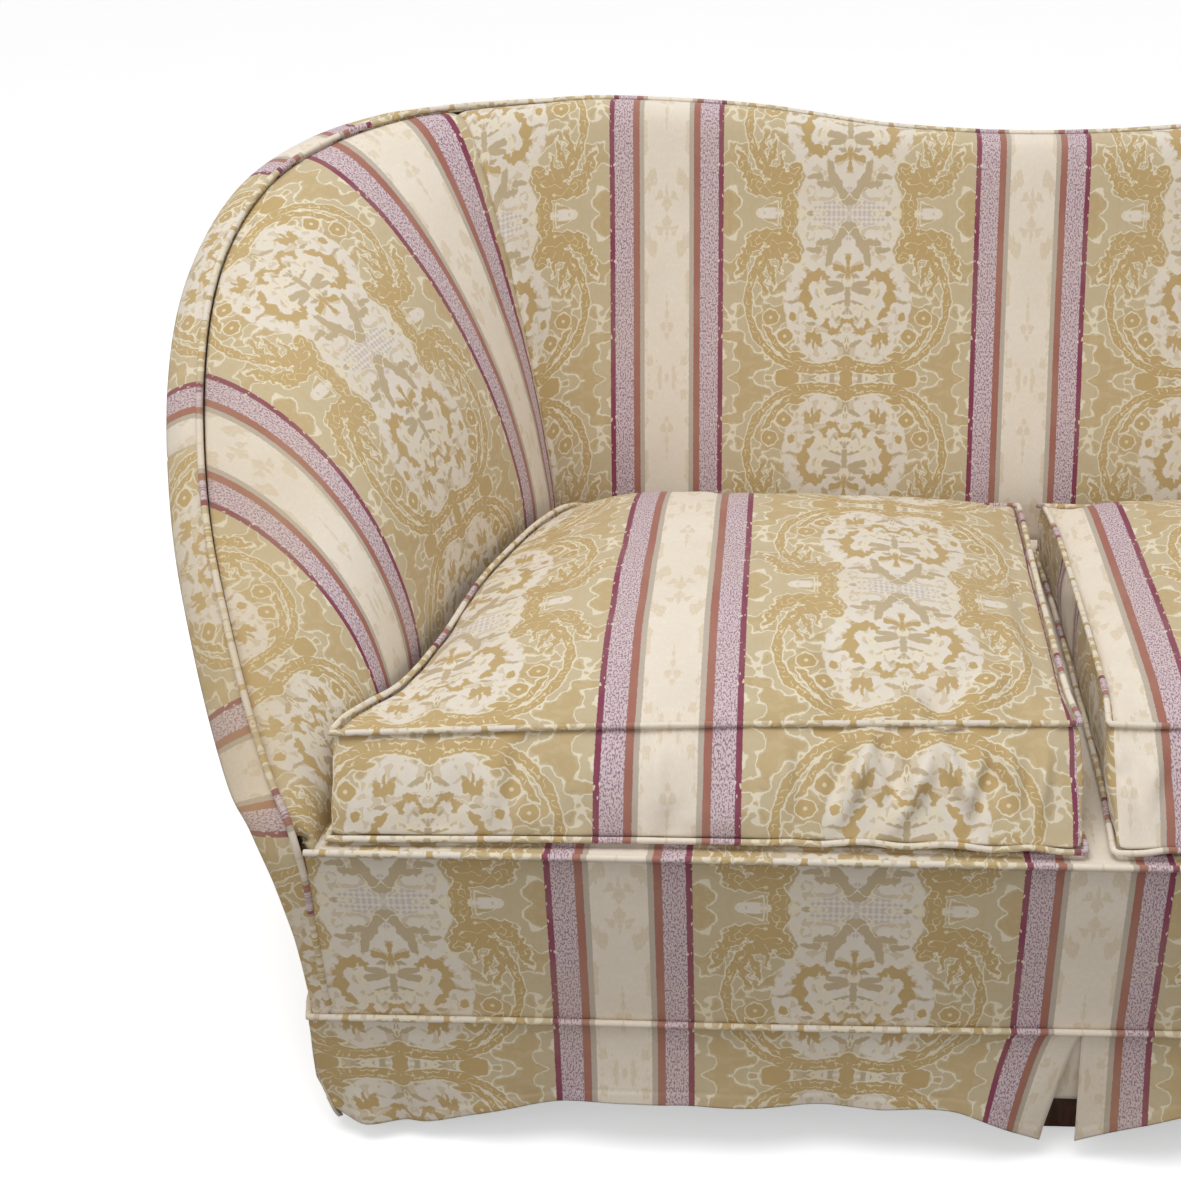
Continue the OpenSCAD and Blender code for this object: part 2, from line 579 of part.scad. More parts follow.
// Part of the side rail's thickness that lies outside the foot of the stuffing
pad_share = 0.8;
function pad_rear_foot(t) =
    let (s = min(t, LAST - t), b = on_rail(t, pad_share), f = foot(t))
    let (k = ease((s - 8) / 4), flat_y = low_rail_y + 2 * rail_t)
    [lerp(b[0], f[0], k), lerp(f[1], flat_y, k), pad_z];
function pad_rear(t, i) =
    let (c = timber(t), f = pad_rear_foot(t), clear = unit(c[0] - c[1]) * cover_t)
    i == 0 ? f :
    i < 4 ? lerp(f, c[3] + clear, rise_shares[i]) :
    i == 4 ? c[3] + clear :
    i == 5 ? (c[3] + c[0]) / 2 + clear :
    i == 6 ? c[0] + clear :
    rim(t) - rim_face(t) * 2 * cover_t + rim_across(t) * cover_t * (min(t, LAST - t) > EAR ? -1 : 1);
rise_shares = [0, 0.33, 0.66, 0.9];

// Grids of the inner covers. The top edge stops short of the rim, under the welt.
function face_point(t, w, depth) =
    let (p = inner_face(t, w), q = inner_face(t, row_shares[len(row_shares) - 2]))
    (w < 1 ? p : p + unit(q - p) * (cover_t + fit)) - face_normal(t, w) * depth;
function face_grid(ts, depth) = [for (w = concat([-1], row_shares)) [for (t = ts) face_point(t, w, depth)]];
function stuffing_back(ts) = [for (i = [0:len(row_shares)]) [for (t = ts) pad_rear(t, i)]];

ARM_COLS = steps(FRONT_TOP, EAR, 18);
PAD_COLS = [for (t = ARM_COLS) if (t > FRONT_TOP + 1) t];
BACK_COLS = steps(EAR, LAST - EAR, 20);

module inner_cover(cols) slab(face_grid(cols, 0), face_grid(cols, cover_t));
module stuffing(cols) slab(face_grid(cols, cover_t + fit), stuffing_back(cols));
module inner_arm_cover_left() color("cornsilk") inner_cover(ARM_COLS);
module inner_arm_cover_right() mirror([1, 0, 0]) inner_arm_cover_left();
module inner_back_cover() color("cornsilk") inner_cover(BACK_COLS);
module arm_stuffing_left() color("khaki") stuffing(PAD_COLS);
module arm_stuffing_right() mirror([1, 0, 0]) arm_stuffing_left();
module back_stuffing() color("khaki") stuffing(BACK_COLS);

// Facing band, fuller along its middle, from the skirt over the arm to the ear.
band_end_share = 12;
BAND_END = band_end_share;
function band_rows(depth) = [for (u = [0, 0.5, 1]) [for (t = steps(0, BAND_END, 24))
    let (full = u == 0.5 ? ease(t - SEAM) * min(band_crown, norm(along(BAND, t)) / 8) : 0)
    rim(t) + along(BAND, t) * u + rim_face(t) * (full - depth)]];
module arm_band_left() color("wheat") slab(band_rows(0), band_rows(cover_t));
module arm_band_right() mirror([1, 0, 0]) arm_band_left();

// Outside covers hang from the outer rim, upright over the rails.
outer_row_shares = [0, knee_share / 2, knee_share, 0.5, 0.66, 0.83, 1];
function outer_point(t, w, depth) =
    let (back = rim_face(t) * (cover_t + fit) * pow(w, 6))
    let (p = outer_face(t, w) - outer_normal(t, w) * depth - back)
    [p[0], max(p[1], front_y + cover_t + fit), p[2]];
function outer_grid(ts, depth) = [for (w = outer_row_shares) [for (t = ts) outer_point(t, w, depth)]];
module outer_cover(ts) slab(outer_grid(ts, cover_t), outer_grid(ts, 0));
// Station where the outer arm cover has its first full section
outer_start_share = 0.1;
module outer_arm_cover_left() color("cornsilk") outer_cover(concat([outer_start_share], steps(SEAM, EAR, 21)));
module outer_arm_cover_right() mirror([1, 0, 0]) outer_arm_cover_left();
module outer_back_cover() color("cornsilk") outer_cover(steps(EAR, LAST - EAR, 20));

// The front border's sides follow the band up to the deck.
border_z = deck_h - cover_t;
BORDER_LAST = (FRONT_TOP + 1) / 2;
border_side = concat(
    [for (t = steps(0, BORDER_LAST, 3)) [rim(t)[0] + fit + welt_r * ease(t - 1), rim(t)[2]]],
    [let (a = rim(BORDER_LAST), b = rim(FRONT_TOP), u = (border_z - a[2]) / (b[2] - a[2]))
        [lerp(a[0], b[0], u) + fit + welt_r, border_z]]
);
module front_border() color("cornsilk") translate([0, front_y + cover_t, 0]) rotate([90, 0, 0])
    linear_extrude(cover_t)
        polygon(concat(border_side, [for (i = [len(border_side) - 1:-1:0]) flip(border_side[i])]));

// Skirt

function hem(list, u) = hem_gap + hem_rise * along(list, u * (len(list) - 1));
function skirt_point(p, out, hem_z, w, wave) =
    let (swing = skirt_swing * pow(w, 1.3) + fold_d * w * w * sin(wave))
    [p[0] + out[0] * swing, p[1] + out[1] * swing, lerp(seam_h, hem_z, w)];
skirt_row_shares = [0, 0.35, 0.7, 1];

// Front panel from the corner to the slit; side is -1 for the left one.
function front_skirt(side, open, depth) =
    let (n = 18)
    [for (w = skirt_row_shares) [for (i = [0:n])
        let (u = i / n, x = lerp(base_half, fit + w * open, u), corner = pow(1 - u, 8))
        let (p = [side * (x + corner * depth), front_y - depth])
        skirt_point(p, [side * corner, -1], hem(hem_shares, u), w, 900 * u)]];
module skirt_front_left() color("antiquewhite")
    slab(front_skirt(-1, slit_left, fit), front_skirt(-1, slit_left, skirt_t));
module skirt_front_right() color("antiquewhite")
    slab(front_skirt(1, slit_right, skirt_t), front_skirt(1, slit_right, fit));

function round_skirt(t0, t1, n, list, depth) =
    [for (w = skirt_row_shares) [for (i = [0:n])
        let (u = i / n, t = lerp(t0, t1, u), mitre = t0 == 0 ? pow(1 - u, 16) : 0)
        let (out = lerp(base_normal(t), [-1, -1], mitre))
        skirt_point(base_edge(t) + out * depth, out, hem(list, u), w, 1080 * u)]];
skirt_rear_share = 10.5;
SKIRT_REAR = skirt_rear_share;
module round_panel(t0, t1, n, list)
    slab(round_skirt(t0, t1, n, list, skirt_t), round_skirt(t0, t1, n, list, fit));
module skirt_left() color("antiquewhite") round_panel(0, SKIRT_REAR, 21, side_hem_shares);
module skirt_right() mirror([1, 0, 0]) skirt_left();
module skirt_back() color("antiquewhite")
    round_panel(SKIRT_REAR, LAST - SKIRT_REAR, 22, round_same(back_hem_shares));

// Welts

// The rim welt runs in one length from the skirt seam over the left arm, the back and the right arm.
// It lies outside the edge between the inner cover, or the front border, and the band.
function welt_place(t) =
    let (s = min(t, LAST - t), n = face_normal(max(FRONT_TOP, min(LAST - FRONT_TOP, t)), 1))
    rim(t) + unit(lerp([0, -1, 0], n, ease((s - 1.8) / 1.2)) + rim_face(t)) * welt_r;
function welt_end(t) = [welt_place(t)[0], welt_place(t)[1], seam_h + welt_d + cover_t];
module rim_welt() color("beige") cord(concat(
    [welt_end(SEAM)], [for (t = steps(2 * SEAM, LAST - 2 * SEAM, 60)) welt_place(t)], [welt_end(LAST - SEAM)]
), welt_r, 6, false);

// The skirt welt runs round the whole base on the top edge of the skirt.
skirt_welt_z = seam_h + welt_r + fit;
module skirt_welt() color("beige") cord(concat(
    [for (t = steps(0, LAST, 64))
        let (s = min(t, LAST - t), n = base_normal(t), corner = [n[0] < 0 ? -1 : 1, -1])
        on_floor_plan(base_edge(t) + (s < SEAM / 2 ? corner : n) * (welt_r + fit), skirt_welt_z)],
    [for (x = steps(1, -1, 18)) if (abs(x) < 1) [x * base_half, front_y - welt_r - fit, skirt_welt_z]]
), welt_r, 6, true);

module front_welt() color("beige") translate([0, front_y - welt_r * sin(45), deck_h + welt_r * sin(45)])
    rotate([0, 90, 0]) cylinder(h = 2 * (half_w - welt_d), d = welt_d, center = true, $fn = 32);

// Cushions

// Stations of the cushion's front and rear edge on the foot line
cushion_end_shares = [2.2, 10.6];
CUSHION_FRONT = cushion_end_shares[0];
CUSHION_REAR = cushion_end_shares[1];
cushion_floor = deck_h + fit;
lower_seam = cushion_floor + welt_d;
CN = 12;
CM = 10;
front_edge_y = front_y + front_set;

// Plan of the cushion: p runs from front to rear, q from the arm to the middle of the sofa.
function cushion_plan(p, q, inset) =
    let (f = foot(lerp(CUSHION_FRONT, CUSHION_REAR, p)), y = p == 0 ? front_edge_y : f[1])
    let (x0 = f[0] + side_gap + welt_d + inset + draw_in * sin(180 * p))
    let (x1 = -middle_gap / 2 - welt_d - inset - draw_in * sin(180 * p))
    let (pull = draw_in * sin(180 * q) * (pow(1 - p, 6) - pow(p, 6)))
    [lerp(x0, x1, q), y + pull + inset * (pow(1 - p, 8) - pow(p, 8))];
function cushion_top(p, q, inset) =
    let (c = cushion_plan(p, q, inset), lean = lerp(lean_arm, lean_middle, q))
    let (hump = pow(1 - pow(abs(2 * p - 1), 3), 0.8) * pow(1 - pow(abs(2 * q - 1), 3), 0.8))
    [c[0], c[1] + lean * pow(1 - p, 2), lower_seam + boxing_h - inset + cushion_crown * hump];
function cushion_low(p, q, inset) =
    let (c = cushion_plan(p, q, inset), edge = max(abs(2 * p - 1), abs(2 * q - 1)))
    [c[0], c[1], cushion_floor + inset + welt_d * pow(edge, 8)];
function cushion_side(p, q, inset) =
    let (a = cushion_top(p, q, inset), b = cushion_low(p, q, inset))
    (a + b) / 2 + [0, p == 0 ? -front_bulge * (0.4 + 0.6 * sin(180 * q)) : 0, 0];

// One ring round the cushion at p, and the middle row of the front boxing.
function cushion_ring(p, inset) = concat(
    [for (j = [0:CM]) cushion_low(p, j / CM, inset)], [cushion_side(p, 1, inset)],
    [for (j = [CM:-1:0]) cushion_top(p, j / CM, inset)], [cushion_side(p, 0, inset)]);
function cushion_skin(inset) = concat(
    [for (i = [0:CN]) each cushion_ring(i / CN, inset)],
    [for (j = [1:CM - 1]) cushion_side(0, j / CM, inset)]);
CR = 2 * (CM + 1) + 2;
CS = (CN + 1) * CR + CM - 1;
function mid_front(j) = j == 0 ? CR - 1 : j == CM ? CM + 1 : (CN + 1) * CR + j - 1;
function top_at(j) = CR - 2 - j;
tube_faces = [for (i = [0:CN - 1], k = [0:CR - 1]) let (k1 = (k + 1) % CR) each [
    [i * CR + k, i * CR + k1, (i + 1) * CR + k1], [i * CR + k, (i + 1) * CR + k1, (i + 1) * CR + k]]];
front_faces = [for (j = [0:CM - 1]) each [
    [j, mid_front(j), mid_front(j + 1)], [j, mid_front(j + 1), j + 1],
    [mid_front(j), top_at(j), top_at(j + 1)], [mid_front(j), top_at(j + 1), mid_front(j + 1)]]];
rear_faces = let (b = CN * CR, s0 = b + CR - 1, s1 = b + CM + 1) concat(
    [[b, b + 1, s0], [b + 1, b + top_at(1), s0], [b + top_at(1), b + top_at(0), s0]],
    [for (j = [1:CM - 2]) each [
        [b + j, b + j + 1, b + top_at(j + 1)], [b + j, b + top_at(j + 1), b + top_at(j)]]],
    [[b + CM - 1, b + CM, s1], [b + CM - 1, s1, b + top_at(CM - 1)],
        [s1, b + top_at(CM), b + top_at(CM - 1)]]);
rear_rim = let (b = CN * CR) [for (k = [0:CR - 1]) let (k1 = (k + 1) % CR) each [
    [b + k, b + k1, CS + b + k1], [b + k, CS + b + k1, CS + b + k]]];
function backwards(faces, shift) = [for (f = faces) [f[0] + shift, f[2] + shift, f[1] + shift]];

// The cover is open at the rear, where the zip strip closes it.
module cushion_cover() polyhedron(concat(cushion_skin(0), cushion_skin(cover_t)),
    concat(tube_faces, front_faces, rear_rim, backwards(concat(tube_faces, front_faces), CS)));
module cushion_filling() polyhedron(cushion_skin(cover_t + fit),
    concat(tube_faces, front_faces, rear_faces));

module cushion_cover_left() color("floralwhite") cushion_cover();
module cushion_cover_right() color("floralwhite") mirror([1, 0, 0]) cushion_cover();
module cushion_filling_left() color("khaki") cushion_filling();
module cushion_filling_right() color("khaki") mirror([1, 0, 0]) cushion_filling();

// Zip strip: a flat band that lies on the rear opening, with the closed teeth and slider proud of it.
module cushion_zip() {
    low = cushion_low(1, 0, 0);
    high = cushion_top(1, 0, 0);
    x1 = cushion_plan(1, 1, 0)[0];
    z0 = low[2] + welt_r;
    z1 = high[2] - welt_r / 3;
    mid = (z0 + z1) / 2;
    translate([low[0], low[1] + fit, z0]) cube([x1 - low[0], cover_t, z1 - z0]);
    translate([low[0] + zip_w, low[1] + fit + cover_t, mid - zip_w / 6])
        cube([x1 - low[0] - 2 * zip_w, cover_t, zip_w / 3]);
    translate([low[0] + zip_w, low[1] + fit + 2 * cover_t, mid - zip_w / 4])
        cube([zip_w, cover_t, zip_w / 2]);
}
module cushion_zip_left() color("dimgray") cushion_zip();
module cushion_zip_right() color("dimgray") mirror([1, 0, 0]) cushion_zip();

// Welts lie in the corner of the seam, outside the cover.
function welt_loop(top) =
    let (edge = concat(
        [for (j = [0:CM]) [0, j / CM]], [for (i = [1:CN]) [i / CN, 1]],
        [for (j = [CM - 1:-1:0]) [1, j / CM]], [for (i = [CN - 1:-1:1]) [i / CN, 0]]))
    [for (e = edge)
        let (p = top ? cushion_top(e[0], e[1], 0) : cushion_low(e[0], e[1], 0))
        let (out = unit([e[1] == 0 ? -1 : e[1] == 1 ? 1 : 0, e[0] == 0 ? -1 : e[0] == 1 ? 1 : 0, 0]))
        p + (welt_r + fit / 2) * unit(out + (top ? [0, 0, 1] : [0, 0, -0.2]))];
module cushion_welts() {
    cord(welt_loop(true), welt_r, 6, true);
    cord(welt_loop(false), welt_r, 6, true);
}
module cushion_welts_left() color("beige") cushion_welts();
module cushion_welts_right() color("beige") mirror([1, 0, 0]) cushion_welts();

front_rail();
back_rail();
side_rail_left();
side_rail_right();
middle_stretcher();
lower_back_rail();
back_top_rail();
back_post_left();
back_post_middle();
back_post_right();
arm_post_left();
arm_post_right();
arm_timber_left();
arm_timber_right();
arm_stay_left();
arm_stay_right();
corner_blocks();
leg_bolts();
leg_front_left();
leg_front_middle();
leg_front_right();
leg_rear_left();
leg_rear_middle();
leg_rear_right();
glides();
webbing_straps();
webbing_cross_straps();
seat_hessian();
deck_felt();
deck_cover();
dust_cover();
back_stuffing();
arm_stuffing_left();
arm_stuffing_right();
inner_back_cover();
inner_arm_cover_left();
inner_arm_cover_right();
arm_band_left();
arm_band_right();
outer_arm_cover_left();
outer_arm_cover_right();
outer_back_cover();
front_border();
skirt_front_left();
skirt_front_right();
skirt_left();
skirt_right();
skirt_back();
rim_welt();
front_welt();
skirt_welt();
cushion_cover_left();
cushion_cover_right();
cushion_filling_left();
cushion_filling_right();
cushion_welts_left();
cushion_welts_right();
cushion_zip_left();
cushion_zip_right();
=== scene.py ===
# %% [markdown]
# # A two-seat cabriole sofa
# The sofa's back bows round without a break into two flared arms. It wears a woven cloth in which broad damask
# panels alternate with pairs of lilac stripes. The solid model gives every piece its place, and this lesson
# dresses it: padded faces, stretched covers, a loose skirt, welts, two filled cushions, and their materials.

import json
import math

import bmesh
import bpy
import numpy as np
from mathutils import Matrix, Vector, noise


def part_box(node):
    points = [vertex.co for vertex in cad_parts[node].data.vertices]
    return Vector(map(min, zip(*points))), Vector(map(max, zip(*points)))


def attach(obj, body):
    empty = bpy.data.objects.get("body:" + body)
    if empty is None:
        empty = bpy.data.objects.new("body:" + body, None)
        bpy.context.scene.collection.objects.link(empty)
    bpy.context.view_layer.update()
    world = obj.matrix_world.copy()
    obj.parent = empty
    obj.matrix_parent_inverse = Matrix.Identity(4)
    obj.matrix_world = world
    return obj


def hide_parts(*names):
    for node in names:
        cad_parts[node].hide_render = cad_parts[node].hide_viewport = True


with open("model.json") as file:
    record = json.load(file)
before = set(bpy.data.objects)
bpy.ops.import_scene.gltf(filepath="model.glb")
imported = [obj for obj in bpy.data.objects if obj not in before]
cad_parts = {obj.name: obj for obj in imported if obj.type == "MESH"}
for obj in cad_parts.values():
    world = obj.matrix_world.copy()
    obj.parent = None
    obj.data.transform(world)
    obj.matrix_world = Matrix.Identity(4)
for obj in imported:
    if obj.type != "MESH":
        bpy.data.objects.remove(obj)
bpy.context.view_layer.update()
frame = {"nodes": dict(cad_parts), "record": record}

# %% [markdown]
# The camera is where the photographer stood: above the seat, in front of the left cushion, looking down by
# 28.6 degrees. The picture is a crop of a wider one, so the lens is shifted sideways and not turned. In
# Blender a camera, a lamp or a mesh is data, and an object puts it into the scene.

# %% Camera
PICTURE_W, PICTURE_H = 1181, 1200
FOCAL_PX, AIM_PX = 1705, 740
CAMERA_AT = (-0.307, -1.767, 1.380)
LOOK_DOWN, TURN = 28.6, 1.76


def put(name, data):
    """A new object in the scene that holds a mesh, a lamp or a camera."""
    obj = bpy.data.objects.new(name, data)
    bpy.context.scene.collection.objects.link(obj)
    return obj


lens = bpy.data.cameras.new("camera")
lens.sensor_width = 36
lens.lens = FOCAL_PX * lens.sensor_width / PICTURE_H
lens.shift_x = (PICTURE_W / 2 - AIM_PX) / PICTURE_H
camera = put("camera", lens)
camera.location = CAMERA_AT
camera.rotation_euler = (math.radians(90 - LOOK_DOWN), 0, math.radians(TURN))
bpy.context.scene.camera = camera
print("lens", round(lens.lens, 2), "mm, shift", round(lens.shift_x, 4))

# %% [markdown]
# All covers follow a few curves that run round the sofa: the inner rim, the outer edge of the facing band, the
# foot of the inner faces and the outline of the base. Each curve is a short table of points, in shares of the
# sofa's sizes, with a smooth curve through them. Station 0 is the foot of the left arm's front edge, 16 the
# middle of the back and 32 the foot of the right arm. The frame was drawn from the same tables.

# %% Sizes and station curves
BASE_W, FLARE, BODY_D, DECK_H, RISE = 1.56, 0.16, 0.9, 0.37, 0.53
COVER_T, BAND_W, BAND_CROWN, BACK_CROWN = 0.002, 0.05, 0.005, 0.028
SEAM_H, SWING, LEG_H, TAPER, FIT = 0.16, 0.014, 0.07, 0.012, 0.0003
WELT_R, PAD_Z = 0.0045, 0.342
FRONT_Y = -(BODY_D - SWING) / 2
HALF_W = BASE_W / 2
FOOT_HALF = HALF_W - TAPER
SEAM, FRONT_TOP, EAR, LAST = 0.5, 2, 11, 32
KNEE, BOW, HIGH = 0.35, 1.2, 0.9

RIM_SHARES = [
    (1, 0, 0.006, 0.028), (1, 0.19, 0.050, 0.132), (1, 0.50, 0.155, 0.302), (1, 0.81, 0.289, 0.462),
    (1, 0.97, 0.422, 0.660), (1, 1, 0.556, 0.811), (1, 0.84, 0.689, 0.915), (1, 0.50, 0.789, 0.968),
    (1, 0.03, 0.856, 0.998), (0.930, 0, 0.905, 1), (0.815, 0, 0.958, 0.999), (0.692, 0, 0.990, 0.999),
    (0.460, 0, 1, 0.979), (0.230, 0, 1, 0.934), (0, 0, 1, 0.919)]
FOOT_SHARES = [
    (0.984, 0), (0.982, 0.004), (0.980, 0.011), (0.974, 0.056), (0.954, 0.100), (0.921, 0.156),
    (0.892, 0.267), (0.867, 0.422), (0.827, 0.556), (0.797, 0.644), (0.781, 0.706), (0.774, 0.748),
    (0.731, 0.784), (0.615, 0.798), (0.423, 0.800), (0.212, 0.800), (0, 0.800)]
BASE_SHARES = [
    (1, 0), (1.003, 0.013), (1.007, 0.033), (1.010, 0.100), (1.017, 0.189), (1.022, 0.311),
    (1.025, 0.444), (1.022, 0.578), (1.010, 0.689), (0.974, 0.794), (0.912, 0.878), (0.842, 0.928),
    (0.726, 0.964), (0.588, 0.978), (0.408, 0.981), (0.204, 0.981), (0, 0.981)]
BAND_SHARES = [
    (-0.30, 0, 0), (-0.42, 0, 0), (-0.90, 0.15, -0.10), (-0.95, 0.20, -0.55), (-0.92, 0.18, -0.70),
    (-0.88, 0.14, -0.50), (-0.90, 0.20, -0.38), (-0.90, 0.28, -0.36), (-0.86, 0.42, -0.18),
    (-0.72, 0.62, -0.06), (-0.48, 0.60, -0.02), (-0.16, 0.26, -0.01), (-0.03, 0.07, -0.01),
    (0, 0.05, -0.01), (0, 0.05, -0.01), (0, 0.05, -0.01), (0, 0.05, -0.01)]
# Upright foot of the inner face, power of its roll, part of the back's crown
SECTION_SHARES = [
    (0.25, 1.05, 0), (0.25, 1.05, 0), (0.25, 1.05, 0), (0.25, 1.05, 0), (0.25, 1.05, 0),
    (0.25, 1.02, 0), (0.25, 1, 0), (0.24, 1.05, 0), (0.22, 1.2, 0), (0.19, 1.3, 0.05),
    (0.15, 1.4, 0.15), (0.12, 1.48, 0.4), (0.10, 1.65, 0.8), (0.09, 1.78, 1), (0.09, 1.8, 1),
    (0.09, 1.8, 1), (0.09, 1.8, 1)]
HEM = [0.34, 0.36, 0.74, 0.97, 1, 0.97, 0.95, 0.98, 0.34]
SIDE_HEM = [0.34, 0.2, 0.6, 0.95, 1, 0.95, 0.6, 0.05, 0.02]
BACK_HEM = [0.02, 0.05, 0.6, 0.95, 1, 1, 1, 1, 1, 1, 1, 1, 0.95, 0.6, 0.05, 0.02]


def both_sides(half, flip=True):
    """The table for the left half, followed by its mirror for the right half."""
    half = np.array(half, float)
    other = half[-2::-1].copy()
    if flip:
        other[:, 0] *= -1
    return np.concatenate([half, other])


RIM = both_sides([[-FOOT_HALF, FRONT_Y, LEG_H], [-(HALF_W + FOOT_HALF) / 2, FRONT_Y, (SEAM_H + DECK_H) / 2]]
                 + [[-(a * HALF_W + b * FLARE), FRONT_Y + c * BODY_D, DECK_H + d * RISE]
                    for a, b, c, d in RIM_SHARES])
BAND = both_sides(np.array(BAND_SHARES) * BAND_W)
FOOT = both_sides([[-a * HALF_W, FRONT_Y + b * BODY_D] for a, b in FOOT_SHARES])
BASE_HALF = FOOT_HALF - BAND_SHARES[0][0] * BAND_W + TAPER / 3
BASE = both_sides([[-a * BASE_HALF, FRONT_Y + b * BODY_D] for a, b in BASE_SHARES])
SECTION = both_sides(SECTION_SHARES, flip=False)


def along(table, t):
    """The smooth curve through a table, at the stations t."""
    table = np.asarray(table, float)
    table = table.reshape(len(table), -1)
    ends = np.concatenate([[2 * table[0] - table[1]], table, [2 * table[-1] - table[-2]]])
    t = np.clip(np.asarray(t, float), 0, len(table) - 1)
    i = np.minimum(t.astype(int), len(table) - 2)
    u = (t - i)[..., None]
    a, b, d, e = ends[i], ends[i + 1], ends[i + 2], ends[i + 3]
    return (2 * b + (d - a) * u + (2 * a - 5 * b + 4 * d - e) * u ** 2 + (3 * b - a - 3 * d + e) * u ** 3) / 2


def unit(v):
    return v / np.maximum(np.linalg.norm(v, axis=-1, keepdims=True), 1e-12)


def spots(*parts):
    """Points from their coordinates, which may be plain numbers or arrays of shapes that fit together."""
    return np.stack(np.broadcast_arrays(*parts), -1)


def outward(run):
    """The level direction away from the sofa, beside the run of its outline."""
    return unit(spots(-run[:, 1], run[:, 0]))


def ease(u):
    """A smooth step: 0 below 0, 1 above 1."""
    c = np.clip(u, 0, 1)
    return c * c * (3 - 2 * c)


def bell(u, middle, half):
    """A smooth bump, 1 in the middle."""
    return np.exp(-((u - middle) / half) ** 2)


def inner_face(t, w):
    """A point of the padded inner face: station t, and share w of the way from the seat up to the rim."""
    t, w = np.broadcast_arrays(np.asarray(t, float), np.asarray(w, float))
    f, r, s = along(FOOT, t), along(RIM, t), along(SECTION, t)
    low = DECK_H + (r[..., 2] - DECK_H) * s[..., 0]
    a = np.pi / 2 * np.clip(w, 0, 1)
    out = 1 - np.cos(a).clip(0) ** s[..., 1]
    up = np.sin(a) ** s[..., 1]
    flat = r[..., :2] - f
    rise = r[..., 2] - low
    size = np.linalg.norm(flat, axis=-1)
    lean = unit(spots(-flat[..., 0] * rise / size, -flat[..., 1] * rise / size, size))
    crown = s[..., 2] * BACK_CROWN * np.sin(np.pi * np.clip(w, 0, 1) ** 4)
    p = spots(f[..., 0] + flat[..., 0] * out, f[..., 1] + flat[..., 1] * out, low + rise * up)
    p = p + lean * crown[..., None]
    p[..., 2] = np.where(w < 0, low + (PAD_Z - low) * -w, p[..., 2])
    return p


def rim_face(t):
    """The direction that the facing band's face looks in."""
    run = unit(along(RIM, t + 0.05) - along(RIM, t - 0.05))
    return unit(np.cross(run, along(BAND, t)))


def outer_face(t, w):
    """A point of the outside: upright over the rails, then bowed out to the band's outer edge."""
    t, w = np.broadcast_arrays(np.asarray(t, float), np.asarray(w, float))
    b, o = along(BASE, t), along(RIM, t) + along(BAND, t)
    top = o[..., 2]
    knee = np.minimum(SEAM_H + 2 * WELT_R, LEG_H + (top - LEG_H) * HIGH)
    knee = np.maximum(LEG_H + (top - LEG_H) * KNEE, knee)
    u = np.clip((w - KNEE) / (1 - KNEE), 0, 1)
    s = (u ** BOW)[..., None]
    z = np.where(w < KNEE, LEG_H + (knee - LEG_H) * w / KNEE, knee + (top - knee) * u)
    return np.concatenate([b * (1 - s) + o[..., :2] * s, z[..., None]], -1)


print("rim is", round(float(along(RIM, 0.0)[2]), 3), "to", round(float(RIM[:, 2].max()), 3), "m high")

# %% [markdown]
# Every cloth face is made the same way: a fine grid of points, a second grid behind it for the thickness, and a
# border that closes them. A grid gives each corner a place on the cloth as well, in metres from the middle of a
# pair of stripes, so that the pattern follows the surface as woven cloth does.

# %% Helpers for grids of cloth
CLOTH_MAP = "cloth"


def put_mesh(name, points, faces, uvs=None):
    """A mesh object at the origin; uvs holds one place on the cloth for each face corner."""
    mesh = bpy.data.meshes.new(name)
    mesh.from_pydata(np.asarray(points, float).tolist(), [], [list(map(int, f)) for f in faces])
    if uvs is not None:
        layer = mesh.uv_layers.new(name=CLOTH_MAP)
        layer.data.foreach_set("uv", np.asarray(uvs, np.float32).ravel())
    mesh.validate()
    mesh.polygons.foreach_set("use_smooth", [True] * len(mesh.polygons))
    return put(name, mesh)


def gather(name, parts, uvs=None):
    """One mesh from several lists of points and faces."""
    points, faces = [], []
    for p, f in parts:
        faces += [[len(points) + k for k in face] for face in f]
        points += list(p)
    return put_mesh(name, points, faces, uvs)


def take(obj):
    """The points and faces of a helper object, which is then removed."""
    parts = [tuple(v.co) for v in obj.data.vertices], [list(f.vertices) for f in obj.data.polygons]
    bpy.data.objects.remove(obj)
    return parts


def line_of(points, closed=False):
    """A helper object: points joined into a line by edges."""
    points = np.asarray(points, float)
    mesh = bpy.data.meshes.new("line")
    edges = [(k, k + 1) for k in range(len(points) - 1)] + ([(len(points) - 1, 0)] if closed else [])
    mesh.from_pydata(points.tolist(), edges, [])
    return put("line", mesh)


def points_of(obj):
    return np.array([v.co for v in obj.data.vertices])


def move_points(obj, co):
    """Give a mesh new places for its points; the update makes its normals follow."""
    obj.data.vertices.foreach_set("co", co.astype(np.float32).ravel())
    obj.data.update()


def grid_normals(p):
    """Unit normals of a grid of points, from the run of its columns and rows."""
    across, up = np.gradient(p, axis=1), np.gradient(p, axis=0)
    return unit(np.cross(across, up))


